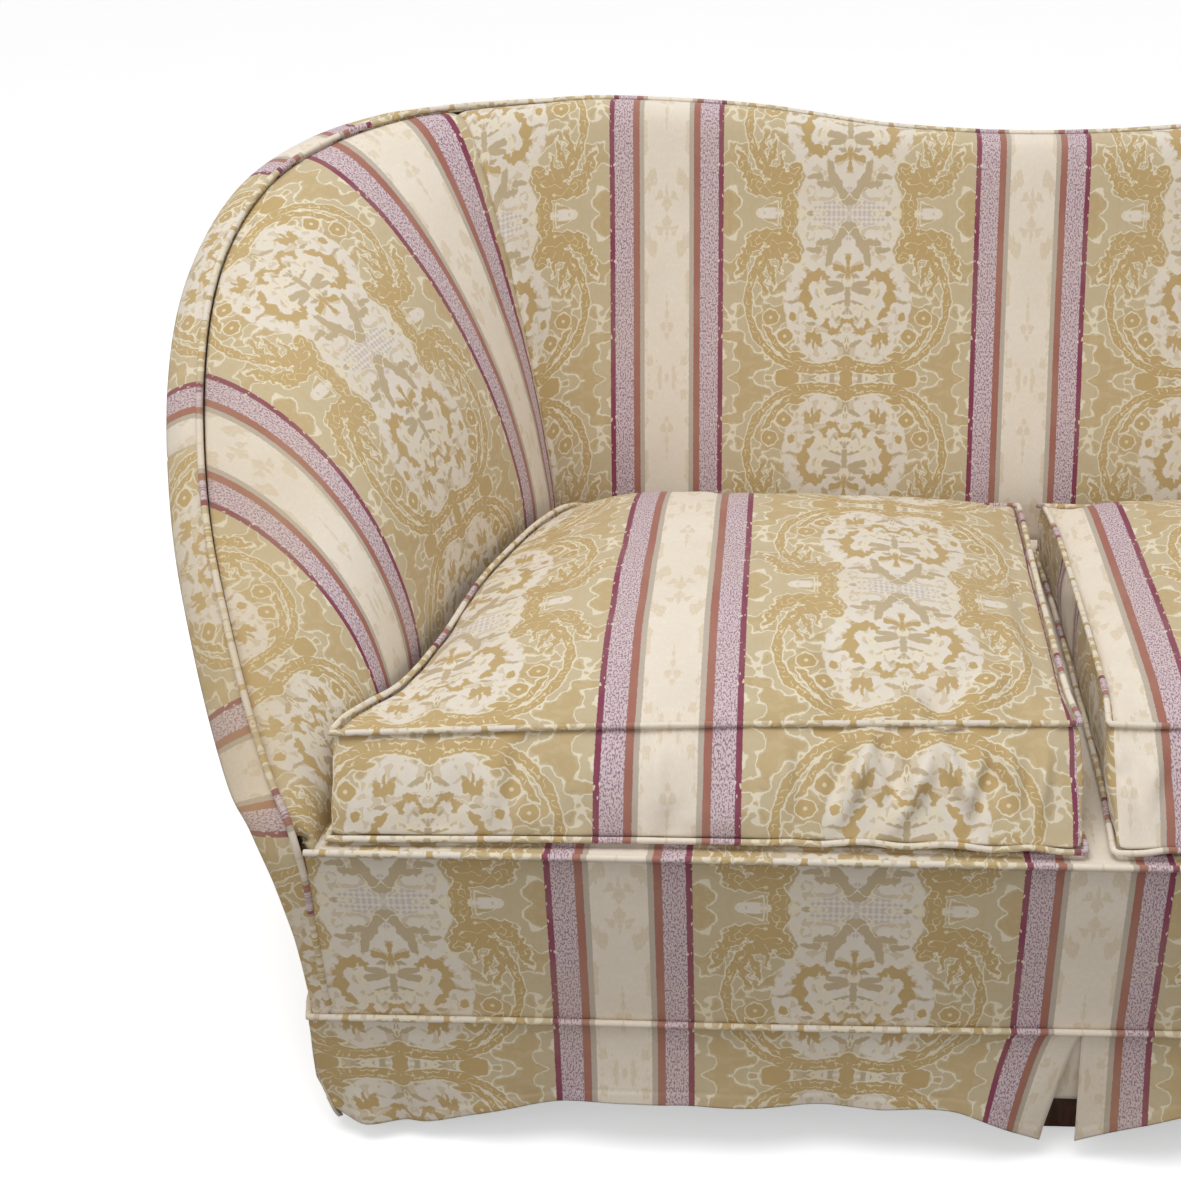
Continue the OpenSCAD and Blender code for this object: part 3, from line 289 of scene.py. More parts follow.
def slab(name, front, back, cloth):
    """A closed piece between two grids of points, with the cloth map of the front one on both."""
    rows, cols = front.shape[:2]
    n = rows * cols
    i, j = np.meshgrid(np.arange(rows - 1), np.arange(cols - 1), indexing="ij")
    a = (i * cols + j).ravel()
    skin = np.stack([a, a + 1, a + cols + 1, a + cols], 1)
    faces = [skin, skin[:, ::-1] + n]
    ring = np.concatenate([np.arange(cols), np.arange(1, rows) * cols + cols - 1,
                           (rows - 1) * cols + np.arange(cols - 2, -1, -1), np.arange(rows - 2, 0, -1) * cols])
    nxt = np.roll(ring, -1)
    faces.append(np.stack([ring, ring + n, nxt + n, nxt], 1))
    faces = np.concatenate(faces)
    points = np.concatenate([front.reshape(-1, 3), back.reshape(-1, 3)])
    flat = np.concatenate([cloth.reshape(-1, 2)] * 2)
    return put_mesh(name, points, faces, flat[faces.ravel()])


def soft(p, size, seed):
    """Smooth random heights, -1 to 1, for a grid of points in space."""
    flat = p.reshape(-1, 3) / size + seed * 7.31
    return np.array([noise.noise(Vector(q)) for q in flat]).reshape(p.shape[:-1])


def arc_length(p, axis=0):
    step = np.linalg.norm(np.diff(p, axis=axis), axis=-1)
    return np.concatenate([np.zeros_like(np.take(step, [0], axis)), np.cumsum(step, axis=axis)], axis=axis)


def mirrored(obj, name):
    """The same piece for the sofa's right side, with its faces turned back outwards."""
    mesh = obj.data.copy()
    mesh.transform(Matrix.Scale(-1, 4, (1, 0, 0)))
    mesh.flip_normals()
    mesh.name = name
    return put(name, mesh)


def both(left, name):
    """A left piece and its mirror, with the words that their nodes' names end in."""
    return (("left", left), ("right", mirrored(left, name + "_right")))


print("grids are ready")

# %% [markdown]
# The pattern is woven from shapes, so the shader draws shapes. These helpers write shader nodes as ordinary
# sums: a `Thread` is one value on its way through a node tree, and adding or multiplying threads adds Math
# nodes. Writing nodes by hand would work too, but a damask has far too many leaves for that.

# %% Helpers that write shader nodes
class Thread:
    """One value in a shader node tree."""

    def __init__(self, tree, socket):
        self.tree, self.socket = tree, socket

    def __add__(self, other):
        return math_node(self.tree, "ADD", self, other)

    __radd__ = __add__

    def __sub__(self, other):
        return math_node(self.tree, "SUBTRACT", self, other)

    def __rsub__(self, other):
        return math_node(self.tree, "SUBTRACT", other, self)

    def __mul__(self, other):
        return math_node(self.tree, "MULTIPLY", self, other)

    __rmul__ = __mul__

    def __truediv__(self, other):
        return math_node(self.tree, "DIVIDE", self, other)


def feed(tree, socket, value):
    if isinstance(value, Thread):
        tree.links.new(value.socket, socket)
    else:
        socket.default_value = value


def add_node(tree, kind, fed, out=0, **settings):
    """Add a node, set it, and feed its inputs by name or number. Back comes the thread of one output."""
    node = tree.nodes.new(kind)
    for label, value in settings.items():
        setattr(node, label, value)
    for label, value in fed.items():
        feed(tree, node.inputs[label], value)
    return Thread(tree, node.outputs[out])


def math_node(tree, operation, a, b=0.0, c=0.0):
    return add_node(tree, "ShaderNodeMath", {0: a, 1: b, 2: c}, operation=operation)


def vector_node(tree, operation, a, b=(0, 0, 0), c=(0, 0, 0)):
    out = 1 if operation in ("LENGTH", "DOT_PRODUCT") else 0
    return add_node(tree, "ShaderNodeVectorMath", {0: a, 1: b, 2: c}, out, operation=operation)


def least(a, b):
    return math_node(a.tree, "MINIMUM", a, b)


def most(a, b):
    return math_node(a.tree, "MAXIMUM", a, b)


def size_of(a):
    return math_node(a.tree, "ABSOLUTE", a)


def fade(value, start, end):
    """0 below start and 1 above end, or the other way round where start is the larger."""
    low, high = sorted((start, end))
    rises = float(start < end)
    # The curve is flat at both ends, and the node's own clamp would be worked out after all other nodes
    fed = {"Value": value, "From Min": low, "From Max": high, "To Min": 1.0 - rises, "To Max": rises}
    return add_node(value.tree, "ShaderNodeMapRange", fed, "Result", interpolation_type="SMOOTHSTEP",
                    clamp=False)


def place(tree, x, y, z=0.0):
    return add_node(tree, "ShaderNodeCombineXYZ", {0: x, 1: y, 2: z})


def split(vector):
    node = add_node(vector.tree, "ShaderNodeSeparateXYZ", {0: vector}).socket.node
    return [Thread(vector.tree, s) for s in node.outputs]


def cloud(vector, scale, detail=2.0, rough=0.5, dimensions="3D"):
    """Soft random values around one half."""
    fed = {"Vector": vector, "Scale": scale, "Detail": detail, "Roughness": rough}
    return add_node(vector.tree, "ShaderNodeTexNoise", fed, "Fac", noise_dimensions=dimensions)


def linear(rgb):
    """A colour as a paint chart gives it, 0 to 255, turned into the numbers that light needs."""
    return tuple((c / 255 / 12.92) if c <= 10 else ((c / 255 + 0.055) / 1.055) ** 2.4 for c in rgb) + (1.0,)


def blend(tree, amount, a, b, mode="MIX"):
    """From colour a to colour b; a colour is a thread, or three numbers from 0 to 255."""
    a, b = (value if isinstance(value, Thread) else linear(value) for value in (a, b))
    return add_node(tree, "ShaderNodeMix", {0: amount, 6: a, 7: b}, 2, data_type="RGBA", blend_type=mode)


def group(name, inputs, outputs, kind="ShaderNodeTree"):
    """A new node group; inputs and outputs are (name, kind, default)."""
    tree = bpy.data.node_groups.new(name, kind)
    for label, kind, value in inputs:
        socket = tree.interface.new_socket(label, in_out="INPUT", socket_type="NodeSocket" + kind)
        if value is not None:
            socket.default_value = value
    for label, kind in outputs:
        tree.interface.new_socket(label, in_out="OUTPUT", socket_type="NodeSocket" + kind)
    source, sink = tree.nodes.new("NodeGroupInput"), tree.nodes.new("NodeGroupOutput")
    return tree, {s.name: Thread(tree, s) for s in source.outputs if s.name}, sink.inputs


print("node helpers are ready")

# %% [markdown]
# The cloth repeats every 46.7 cm across and 42 cm up, and each repeat is its own mirror image both ways. So the
# shader folds the cloth map into one quarter of a repeat, in centimetres, and draws only that quarter. Plumes,
# leaves and stems are ovals from tip to tip, flowers and fruit are round ones, and two parts of rings frame the
# medallion. The thin scrolls are level lines of a soft noise. A little noise on the folded map makes the edges
# leafy, and because it is folded too, both halves of a leaf pair still match.

# %% The drawing of the damask
REPEAT_CM, RISE_CM = 46.67, 42.0

# x, y of one tip, x, y of the other, half width
PLUMES = [
    (7.3, 0.0, 8.1, 3.0, 1.05), (8.2, 2.2, 6.6, 6.2, 0.95), (7.2, 4.6, 8.6, 2.9, 0.8),
    (8.0, 3.5, 11.2, 2.6, 0.95), (10.6, 2.5, 13.0, 4.4, 0.95), (12.6, 3.6, 14.1, 7.6, 0.62),
    (8.2, 4.9, 10.8, 4.8, 0.8), (10.4, 4.6, 11.7, 7.4, 0.68), (11.6, 6.3, 10.7, 10.2, 0.42),
    (10.3, 5.6, 9.5, 9.0, 0.4), (9.0, 5.0, 8.7, 7.2, 0.3)]
WREATH = [
    (2.6, 8.4, 3.5, 7.4, 0.42), (3.2, 7.4, 4.9, 7.8, 0.62), (4.7, 7.4, 5.7, 9.6, 0.66),
    (5.6, 8.8, 5.5, 11.6, 0.68), (5.5, 11.0, 4.1, 13.5, 0.52), (0, 8.0, 0, 5.2, 0.42),
    (0.2, 7.9, 1.8, 6.2, 0.34), (4.2, 14.9, 3.3, 17.0, 0.42), (4.3, 14.9, 5.4, 16.8, 0.40),
    (4.2, 15.0, 4.4, 17.2, 0.26), (0, 13.2, 1.2, 14.9, 0.34), (0.9, 14.9, 2.4, 15.0, 0.32),
    (2.3, 15.0, 2.9, 13.2, 0.28)]
STEMS = [
    (0, 8.6, 0, 12.6, 0.36), (0.5, 9.0, 2.9, 8.7, 0.42), (0.5, 9.4, 3.6, 10.3, 0.5),
    (0.3, 11.0, 2.3, 11.9, 0.26), (0.2, 12.2, 1.5, 13.6, 0.2), (0.2, 7.9, 1.5, 8.0, 0.24),
    (0.0, 1.2, 1.5, 3.4, 0.66), (1.1, 2.7, 2.5, 5.0, 0.78), (2.2, 4.6, 2.7, 6.6, 0.52),
    (1.9, 3.4, 3.6, 3.7, 0.46), (3.5, 3.2, 4.0, 5.0, 0.46), (3.8, 4.8, 5.3, 4.4, 0.36),
    (3.8, 0.0, 5.4, 0.2, 0.26), (0, 15.7, 0, 18.4, 0.4),
    (0.1, 16.9, 1.9, 16.2, 0.34), (1.4, 18.2, 1.8, 21.2, 0.4), (3.9, 14.2, 5.2, 13.9, 0.2),
    (6.2, 11.0, 7.7, 11.3, 0.24), (2.9, 20.1, 5.0, 21.1, 0.28)]
# x, y of the middle, half width, half height
FRUIT = [(9.9, 13.2, 0.95, 0.95), (8.05, 15.6, 0.95, 0.95), (7.7, 21.0, 1.6, 1.15),
         (7.0, 13.1, 0.5, 0.65), (0, 21.0, 0.85, 1.4), (6.6, 18.1, 1.2, 0.4)]
# x, y of the middle, radius
EYES = [(9.9, 13.2, 0.22), (8.05, 15.6, 0.22)]
# x, y of the middle, radius, half width, and the half plane that is kept: nx, ny, shift
RINGS = [(3.9, 11.1, 8.95, 0.42, 0.62, 0.78, 3.2), (3.5, 12.2, 7.2, 0.36, 0.25, 0.97, -3.9)]


def oval(at, x, y, long, wide, turn=0.0):
    """About the distance to an oval leaf, below 0 inside it. The map's z of 1 takes the shift of its middle."""
    scale = math.sqrt(wide / 2)
    c, s = math.cos(turn), math.sin(turn)
    rows = ((c / long, s / long), (-s / wide, c / wide))
    p, q = (vector_node(at.tree, "DOT_PRODUCT", at, (scale * a, scale * b, -scale * (a * x + b * y)))
            for a, b in rows)
    return math_node(at.tree, "MULTIPLY_ADD", p, p, math_node(at.tree, "MULTIPLY_ADD", q, q, -wide / 2))


def blade(at, x0, y0, x1, y1, wide):
    """An oval leaf from tip to tip."""
    long = math.hypot(x1 - x0, y1 - y0) / 2 + wide / 3
    return oval(at, (x0 + x1) / 2, (y0 + y1) / 2, long, wide, math.atan2(y1 - y0, x1 - x0))


def ring(at, x, y, radius, half, nx, ny, shift):
    """Part of a ring: the side of a straight line that lies along (nx, ny)."""
    rel = vector_node(at.tree, "SUBTRACT", at, (x, y, 1))
    band = size_of(vector_node(at.tree, "LENGTH", rel) - radius) - half
    return most(band, (-shift) - vector_node(at.tree, "DOT_PRODUCT", rel, (nx, ny, 0)))


def nearest(shapes):
    """The distance to the nearest of several shapes. They come one by one, so the shader keeps few values."""
    best = None
    for shape in shapes:
        best = shape if best is None else least(best, shape)
    return best


def damask_panel(tree, x, y):
    """The colour of a damask panel, and 1 where it is gold, from the folded map."""
    folded = place(tree, x, y, 1.0)
    # Leafy edges: a coarse and a fine wobble of the folded map
    lobes = add_node(tree, "ShaderNodeTexNoise", {"Vector": folded, "Scale": 0.95, "Detail": 2.5}, "Color",
                     noise_dimensions="2D")
    wobble = vector_node(tree, "MULTIPLY_ADD", lobes, (1.5, 1.5, 0), (-0.75, -0.75, 0))
    leafy = vector_node(tree, "ADD", folded, wobble)
    half_wobble = vector_node(tree, "MULTIPLY_ADD", wobble, (0.45, 0.45, 0), folded)

    plume = nearest(blade(leafy, *tips) for tips in PLUMES)
    wreath = nearest(blade(leafy, *tips) for tips in WREATH)
    stems = nearest(blade(half_wobble, *tips) for tips in STEMS)
    fruit = nearest(oval(half_wobble, *f) for f in FRUIT)
    eyes = nearest(oval(folded, a, b, r, r) for a, b, r in EYES)
    rings = nearest(ring(half_wobble, *r) for r in RINGS)
    # Scroll lines follow the level lines of one soft cloud, and small filling leaves the peaks of another
    level = cloud(half_wobble, 0.34, 1.0, 0.4, "2D") - 0.5
    scroll = fade(size_of(level), 0.022, 0.010)
    filling = cloud(half_wobble, 0.85, 1.0, 0.5, "2D")

    # The pale field: a wavy middle column and the round medallion
    column = size_of(split(half_wobble)[0]) - 6.1 - 0.5 * math_node(tree, "SINE", y * 0.9)
    column = math_node(tree, "SMOOTH_MIN", most(column, y - 7.0), oval(half_wobble, 0, 11.4, 8.2, 8.6), 1.0)
    neck = most(size_of(x) - 2.6, 18.5 - y)
    star = oval(folded, 10.1, 0, 1.7, 0.75)
    pale = fade(nearest([column, neck, star]), 0.12, -0.12)

    # Check weave in the lattice diamond
    diamond = fade(x / 5.8 + y / 3.6, 1.05, 0.95)
    check = fade(math_node(tree, "SINE", x * 10.5) + math_node(tree, "SINE", y * 10.5), -0.3, 0.5)
    # Soft lines along the gold plumes, for their painted highlights
    soft_highlight_line = size_of(cloud(folded, 0.8, 1.0, 0.5, "2D") - 0.5)

    color = blend(tree, pale, (203, 187, 153), (231, 222, 209))
    color = blend(tree, fade(level, 0.035, 0.055) * (1.0 - pale) * 0.7, color, (193, 166, 116))
    color = blend(tree, fade(filling, 0.57, 0.60) * 0.55, color, (203, 182, 142))
    color = blend(tree, diamond * check, color, (206, 196, 191))
    leaf = fade(stems, 0.07, -0.07)
    color = blend(tree, leaf, color, (192, 174, 142))
    wide = nearest([plume, rings])
    outline = fade(size_of(least(wide, fruit) - 0.12), 0.12, 0.04)
    color = blend(tree, most(outline, scroll), color, (233, 223, 199))
    gold = fade(nearest([wide, wreath, fruit]), 0.07, -0.07)
    color = blend(tree, gold, color, (192, 164, 111))
    # Painted highlight lines on the plumes, and the pale eyes of the fruit, which are part of the pattern,
    # share one colour
    painted_highlight = fade(soft_highlight_line, 0.030, 0.014) * fade(wide, -0.12, -0.25)
    return blend(tree, most(painted_highlight, fade(eyes, 0.05, -0.05)), color, (228, 214, 178)), gold


def stripe_pair(tree, u, v, c, y):
    """The stripes' colour, the place across them, their raised threads and the leaves of the ivory strip."""
    strip_leaf = cloud(vector_node(tree, "MULTIPLY", place(tree, c, y), (0.42, 0.2, 0)), 1.0, 3.0, 0.6, "2D")
    strip_leaf = fade(strip_leaf, 0.50, 0.54)
    fine = place(tree, u * 900.0, v * 160.0)
    dash = fade(cloud(fine, 1.0, 1.0, 0.5, "2D"), 0.60, 0.68)
    strip = blend(tree, strip_leaf * 0.8, (237, 226, 210), (223, 206, 180))
    strip = blend(tree, dash * 0.35, strip, (247, 242, 232))
    speck = fade(cloud(place(tree, u * 620.0, v * 330.0), 1.0, 1.5, 0.6, "2D"), 0.50, 0.58)
    lilac = blend(tree, speck * 0.85, (216, 197, 201), (136, 97, 121))
    twill = fade(math_node(tree, "SINE", (u + v) * 3600.0), -0.2, 0.8)
    rust = blend(tree, twill * 0.5, (158, 98, 86), (184, 132, 112))
    wine = blend(tree, twill * 0.4, (128, 48, 78), (152, 76, 98))
    edge = cloud(place(tree, u * 300.0, v * 420.0), 1.0, 1.0, 0.5, "2D") * 0.12 - 0.06
    run = c + edge
    # From the middle of a pair outwards: ivory, a grey band of painted shade beside the raised stripe, rust,
    # lilac, burgundy
    bands = strip
    for start, end, color in ((2.83, 2.90, (190, 178, 164)), (3.42, 3.48, rust), (4.24, 4.31, lilac),
                              (6.58, 6.66, wine)):
        bands = blend(tree, fade(run, start, end), bands, color)
    nick = fade(cloud(place(tree, c * 2.0, y * 1.1), 1.0, 1.0, 0.5, "2D"), 0.69, 0.73) * fade(run, 6.3, 6.6)
    return blend(tree, nick * 0.8, bands, (238, 226, 205)), run, dash, strip_leaf


def damask_group():
    tree, given, out = group("damask stripe", [("Cloth", "Vector", None), ("Fading", "Float", 0.0)],
                             [("Color", "Color"), ("Relief", "Float"), ("Shine", "Float")])
    u, v, _ = split(given["Cloth"])
    # c runs from the middle of a pair of stripes, and the panel's x from the panel's own middle
    c = size_of(math_node(tree, "WRAP", u * 100.0, REPEAT_CM / 2, -REPEAT_CM / 2))
    y = size_of(math_node(tree, "WRAP", v * 100.0, RISE_CM / 2, -RISE_CM / 2))
    panel, gold = damask_panel(tree, REPEAT_CM / 2 - c, y)
    bands, run, dash, strip_leaf = stripe_pair(tree, u, v, c, y)
    in_panel = fade(run, 7.21, 7.29)
    color = blend(tree, in_panel, bands, panel)

    # Old cloth: uneven, a little greyer or yellower in places
    mottle = cloud(given["Cloth"], 9.0, 3.0, 0.6)
    color = blend(tree, fade(mottle, 0.35, 0.7) * 0.14, color, (205, 188, 158))
    # Dirt low down, and the darker, yellower lower outside of the arms, blend towards this yellow brown
    color = blend(tree, given["Fading"] * 0.6, color, (196, 168, 118))
    feed(tree, out["Color"], color)
    # Bump works its height out three times, so the relief leaves the drawing out and keeps the stripes' edges
    feed(tree, out["Relief"], fade(run, 3.4, 3.5) * (1.0 - in_panel) * 0.4 + dash * 0.2)
    feed(tree, out["Shine"], in_panel * gold * 0.6 + (1.0 - in_panel) * strip_leaf * 0.5)
    return tree


DAMASK = damask_group()
print("damask group has", len(DAMASK.nodes), "nodes")

# %% [markdown]
# Effects that several materials share are groups of their own: the crossing threads of any woven cloth, the
# dirt that gathers low down, and the figure of sawn wood. Each has named inputs, so one group
# serves coarse hessian as well as fine lining.

# %% Threads, dirt and wood grain
def weave_group():
    tree, given, out = group("crossing threads", [("Place", "Vector", None),
                                                  ("Threads per metre", "Float", 900.0)],
                             [("Height", "Float"), ("Tint", "Float")])
    count = given["Threads per metre"]
    scaled = vector_node(tree, "MULTIPLY", given["Place"], place(tree, count, count, count))
    a, b, d = split(scaled)
    warp = math_node(tree, "SINE", (a + d) * math.pi)
    weft = math_node(tree, "SINE", (b - d) * math.pi)
    uneven = cloud(given["Place"], 160.0, 2.0, 0.6)
    feed(tree, out["Height"], warp * weft * 0.5 + 0.5 + uneven * 0.6)
    feed(tree, out["Tint"], fade(uneven, 0.3, 0.7))
    return tree


def dirt_group():
    """Dirt in blotches that grow fainter from the floor up to the height Top."""
    tree, given, out = group("dirt", [("Place", "Vector", None), ("Top", "Float", 0.3)], [("Mask", "Float")])
    z = split(given["Place"])[2]
    blotch = cloud(given["Place"], 7.0, 4.0, 0.65)
    low = fade(z / given["Top"], 1.0, 0.0)
    feed(tree, out["Mask"], low * fade(blotch, 0.35, 0.7))
    return tree


def grain_group():
    tree, given, out = group("wood grain", [("Place", "Vector", None), ("Stretch", "Vector", (30, 30, 2))],
                             [("Figure", "Float"), ("Pores", "Float")])
    stretched = vector_node(tree, "MULTIPLY", given["Place"], given["Stretch"])
    figure = cloud(stretched, 1.0, 4.0, 0.6)
    lines = math_node(tree, "SINE", figure * 40.0) * 0.5 + 0.5
    pores = fade(cloud(vector_node(tree, "MULTIPLY", stretched, (14, 14, 4)), 1.0, 2.0, 0.5), 0.62, 0.7)
    feed(tree, out["Figure"], lines)
    feed(tree, out["Pores"], pores)
    return tree


WEAVE, DIRT, GRAIN = weave_group(), dirt_group(), grain_group()
print("shared groups:", [g.name for g in (WEAVE, DIRT, GRAIN)])

# %% [markdown]
# Each material keeps its own Principled shader. What is the same all over it, such as its sheen, is set on the
# shader's socket, and what varies comes in from the groups through colour, roughness and bump.

# %% Materials
def use_group(tree, shared, **values):
    node = tree.nodes.new("ShaderNodeGroup")
    node.node_tree = shared
    for label, value in values.items():
        feed(tree, node.inputs[label.replace("_", " ")], value)
    return {s.name: Thread(tree, s) for s in node.outputs}


def new_material(name, rough, sheen=0.0, metal=0.0, coat=0.0):
    made = bpy.data.materials.new(name + "_finish")
    made.use_nodes = True
    tree = made.node_tree
    shader = next(n for n in tree.nodes if n.type == "BSDF_PRINCIPLED")
    for label, value in (("Roughness", rough), ("Sheen Weight", sheen), ("Metallic", metal),
                         ("Coat Weight", coat)):
        shader.inputs[label].default_value = value
    return made, tree, shader, add_node(tree, "ShaderNodeTexCoord", {}, "Object")


def bump(tree, shader, height, strength, distance):
    relief = add_node(tree, "ShaderNodeBump", {"Strength": strength, "Distance": distance, "Height": height})
    feed(tree, shader.inputs["Normal"], relief)


def damask_material(name):
    made, tree, shader, at = new_material(name, 0.85, sheen=0.15)
    cloth = add_node(tree, "ShaderNodeUVMap", {}, uv_map=CLOTH_MAP)
    dirt = use_group(tree, DIRT, Place=at, Top=0.42)["Mask"]
    # The outer faces of the arms are darker and yellower, most of all low down
    x, _, z = split(at)
    low_arm_darkening = fade(size_of(x), 0.755, 0.83) * fade(z, 0.90, 0.30)
    woven = use_group(tree, DAMASK, Cloth=cloth, Fading=dirt * 0.25 + low_arm_darkening * 0.75)
    threads = use_group(tree, WEAVE, Place=cloth, Threads_per_metre=1100.0)
    tint = blend(tree, threads["Tint"] * 0.10, woven["Color"], (225, 212, 184), "MULTIPLY")
    feed(tree, shader.inputs["Base Color"], tint)
    feed(tree, shader.inputs["Roughness"], 0.88 - woven["Shine"] * 0.22)
    bump(tree, shader, woven["Relief"] + threads["Height"] * 0.25, 0.45, 0.0007)
    return made


def woven_material(name, light, dark, threads, rough=0.9, sheen=0.1, dirt_color=(150, 125, 90)):
    """Any plain cloth: two thread colours, the crossing threads and some dirt."""
    made, tree, shader, at = new_material(name, rough, sheen=sheen)
    weave = use_group(tree, WEAVE, Place=at, Threads_per_metre=threads)
    patch = cloud(at, 12.0, 4.0, 0.6)
    dirt = use_group(tree, DIRT, Place=at, Top=0.2)["Mask"]
    color = blend(tree, fade(weave["Height"], 0.3, 1.1), dark, light)
    color = blend(tree, fade(patch, 0.3, 0.75) * 0.35, color, dark)
    feed(tree, shader.inputs["Base Color"], blend(tree, dirt * 0.5, color, dirt_color))
    feed(tree, shader.inputs["Roughness"], rough - patch * 0.1)
    bump(tree, shader, weave["Height"], 0.6, 0.3 / threads)
    return made


def wood_material(name, light, dark, stretch, rough, coat=0.0):
    made, tree, shader, at = new_material(name, rough, coat=coat)
    grain = use_group(tree, GRAIN, Place=at, Stretch=stretch)
    color = blend(tree, grain["Figure"] * 0.6, light, dark)
    worn = fade(cloud(at, 55.0, 3.0, 0.6), 0.56, 0.7)
    color = blend(tree, grain["Pores"] * 0.5 + worn * 0.2, color, dark)
    feed(tree, shader.inputs["Base Color"], color)
    feed(tree, shader.inputs["Roughness"], rough + worn * 0.2 - grain["Figure"] * 0.08)
    bump(tree, shader, grain["Figure"] * 0.4 - grain["Pores"], 0.35, 0.0006)
    return made


def hard_material(name, light, dark, rough, metal=0.0):
    made, tree, shader, at = new_material(name, rough, metal=metal)
    scuff = fade(cloud(at, 420.0, 3.0, 0.7), 0.45, 0.7)
    feed(tree, shader.inputs["Base Color"], blend(tree, scuff, light, dark))
    feed(tree, shader.inputs["Roughness"], rough + scuff * 0.2)
    bump(tree, shader, scuff, 0.3, 0.0003)
    return made


MATERIALS = {
    "damask_stripe": damask_material("damask_stripe"),
    "welt_cloth": damask_material("welt_cloth"),
    "zip_tape": woven_material("zip_tape", (206, 190, 158), (170, 152, 118), 1400.0),
    "felt": woven_material("felt", (222, 214, 196), (190, 178, 154), 260.0, rough=0.97, sheen=0.3),
    "hessian": woven_material("hessian", (172, 138, 92), (112, 84, 52), 420.0),
    "dust_cloth": woven_material("dust_cloth", (52, 50, 50), (26, 25, 25), 700.0, dirt_color=(96, 90, 82)),
    "webbing": woven_material("webbing", (58, 54, 50), (28, 26, 25), 500.0),
    "beech": wood_material("beech", (206, 170, 124), (166, 122, 78), (26.0, 3.0, 26.0), 0.62),
    "leg_wood": wood_material("leg_wood", (88, 54, 36), (42, 24, 16), (34.0, 34.0, 6.0), 0.42, coat=0.15),
    "bolt_steel": hard_material("bolt_steel", (178, 176, 170), (120, 116, 110), 0.32, metal=1.0),
    "glide_plastic": hard_material("glide_plastic", (46, 42, 40), (70, 64, 58), 0.5),
    "zip_metal": hard_material("zip_metal", (190, 160, 96), (130, 104, 60), 0.34, metal=1.0),
}


def dress(obj, material, body="root"):
    """Give a finished piece its material and its body."""
    obj.data.materials.clear()
    obj.data.materials.append(MATERIALS[material])
    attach(obj, body)
    return obj


def clothe(obj, *nodes, body="root"):
    """A piece of the damask that stands for some nodes of the solid model."""
    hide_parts(*nodes)
    dress(obj, "damask_stripe", body)


def lay(obj, width, length, area, held, rests_on):
    """Print the size a piece of cloth was cut to, and its area."""
    round(min(area, width * length), 4)
    print(obj.name, "cut", round(width, 3), "x", round(length, 3), "m, area", round(area, 3), "m2")


print("materials:", ", ".join(MATERIALS))

# %% [markdown]
# The inside of the back and of each arm is stuffed and covered in one piece of cloth, tucked down behind the
# seat and pulled up to the rim. A flat sheet would look like cardboard. So the face of each pad swells a little
# unevenly over its stuffing and is drawn in along its edges, where stitches and tacks hold it.

# %% Padded inner faces
PAD_DEPTH, PAD_EDGE = 0.024, 0.0024
# Heights of the stuffing's broad and small unevenness, and of the tucks along the side edges
PAD_SWELL, PAD_LUMP, PAD_TUCK = 0.0026, 0.0007, 0.0007
# How far up the cloth from the seat the middle of a lattice lies, on the back and on the arms
BACK_LATTICE_UP, ARM_LATTICE_UP = 0.445, 0.41


def back_cloth(p):
    """Across: along each row from the middle. Up: along each column from the seat."""
    u = arc_length(p[..., :2], axis=1)
    u = u - u[:, p.shape[1] // 2][:, None]
    v = arc_length(p) + p[0, :, 2][None, :] - PAD_Z
    return spots(u, v)


def pad_grids(ts, ws, seed):
    t, w = np.meshgrid(ts, ws)
    face = inner_face(t, w)
    n = grid_normals(face)
    # Held along its side edges and its top, full in between
    side = np.minimum(t - ts[0], ts[-1] - t)
    held = ease(side / 0.45) * ease((1 - w) / 0.10)
    swell = soft(face, 0.16, seed) * PAD_SWELL + soft(face, 0.05, seed + 3) * PAD_LUMP
    tucks = np.exp(-side / 0.16) * np.sin(w * 95 + 5 * soft(face, 0.2, seed + 5)) * PAD_TUCK
    crease = np.where(w < 0, 0, 1)
    front = face + n * (((swell - 0.0012) * held + tucks * ease(side / 0.05)) * crease)[..., None]
    # The edge stops just short of the rim and dips under the welt
    front = front - n * ((0.0016 * (1 - held) + 0.004 * np.exp(-side / 0.05)) * crease)[..., None]
    depth = PAD_EDGE + (PAD_DEPTH - PAD_EDGE) * ease((0.86 - w) / 0.3) * ease((side + 0.25) / 0.9)
    return front, front - n * depth[..., None]


# Rows from below the seat up to just under the rim, closer together near it
ws = np.concatenate([[-1, -0.6, -0.25], np.linspace(0, 0.9, 76), np.linspace(0.9, 0.994, 14)[1:]])
ts = np.linspace(EAR, LAST - EAR, 191)
front, back = pad_grids(ts, ws, 1)
cloth = back_cloth(front)
cloth[..., 1] -= BACK_LATTICE_UP
inner_back = slab("inner_back", front, back, cloth)
clothe(inner_back, "inner_back_cover", "back_stuffing")

# Where the stripes run on the arms: station, and distance across the cloth from a pair's middle
ARM_STRIPES = [(5.02, -0.0725), (6.0, 0.0725), (8.62, 0.394), (10.8, 0.539)]
ts = np.linspace(FRONT_TOP, EAR, 131)
front, back = pad_grids(ts, ws, 2)
row = int(np.argmin(np.abs(ws - 0.75)))
run = arc_length(front[row:row + 1], axis=1)[0]
marks = np.interp([m[0] for m in ARM_STRIPES], ts, run)
across = np.interp(run, marks, [m[1] for m in ARM_STRIPES])
across = np.where(run < marks[0], ARM_STRIPES[0][1] + run - marks[0], across)
across = np.where(run > marks[-1], ARM_STRIPES[-1][1] + run - marks[-1], across)
cloth = spots(across, arc_length(front) - ARM_LATTICE_UP)
inner_arm_left = slab("inner_arm_left", front, back, cloth)
for side, pad in both(inner_arm_left, "inner_arm"):
    clothe(pad, "inner_arm_cover_" + side, "arm_stuffing_" + side)
print("inner pads:", len(inner_back.data.vertices), "and", len(inner_arm_left.data.vertices), "points")

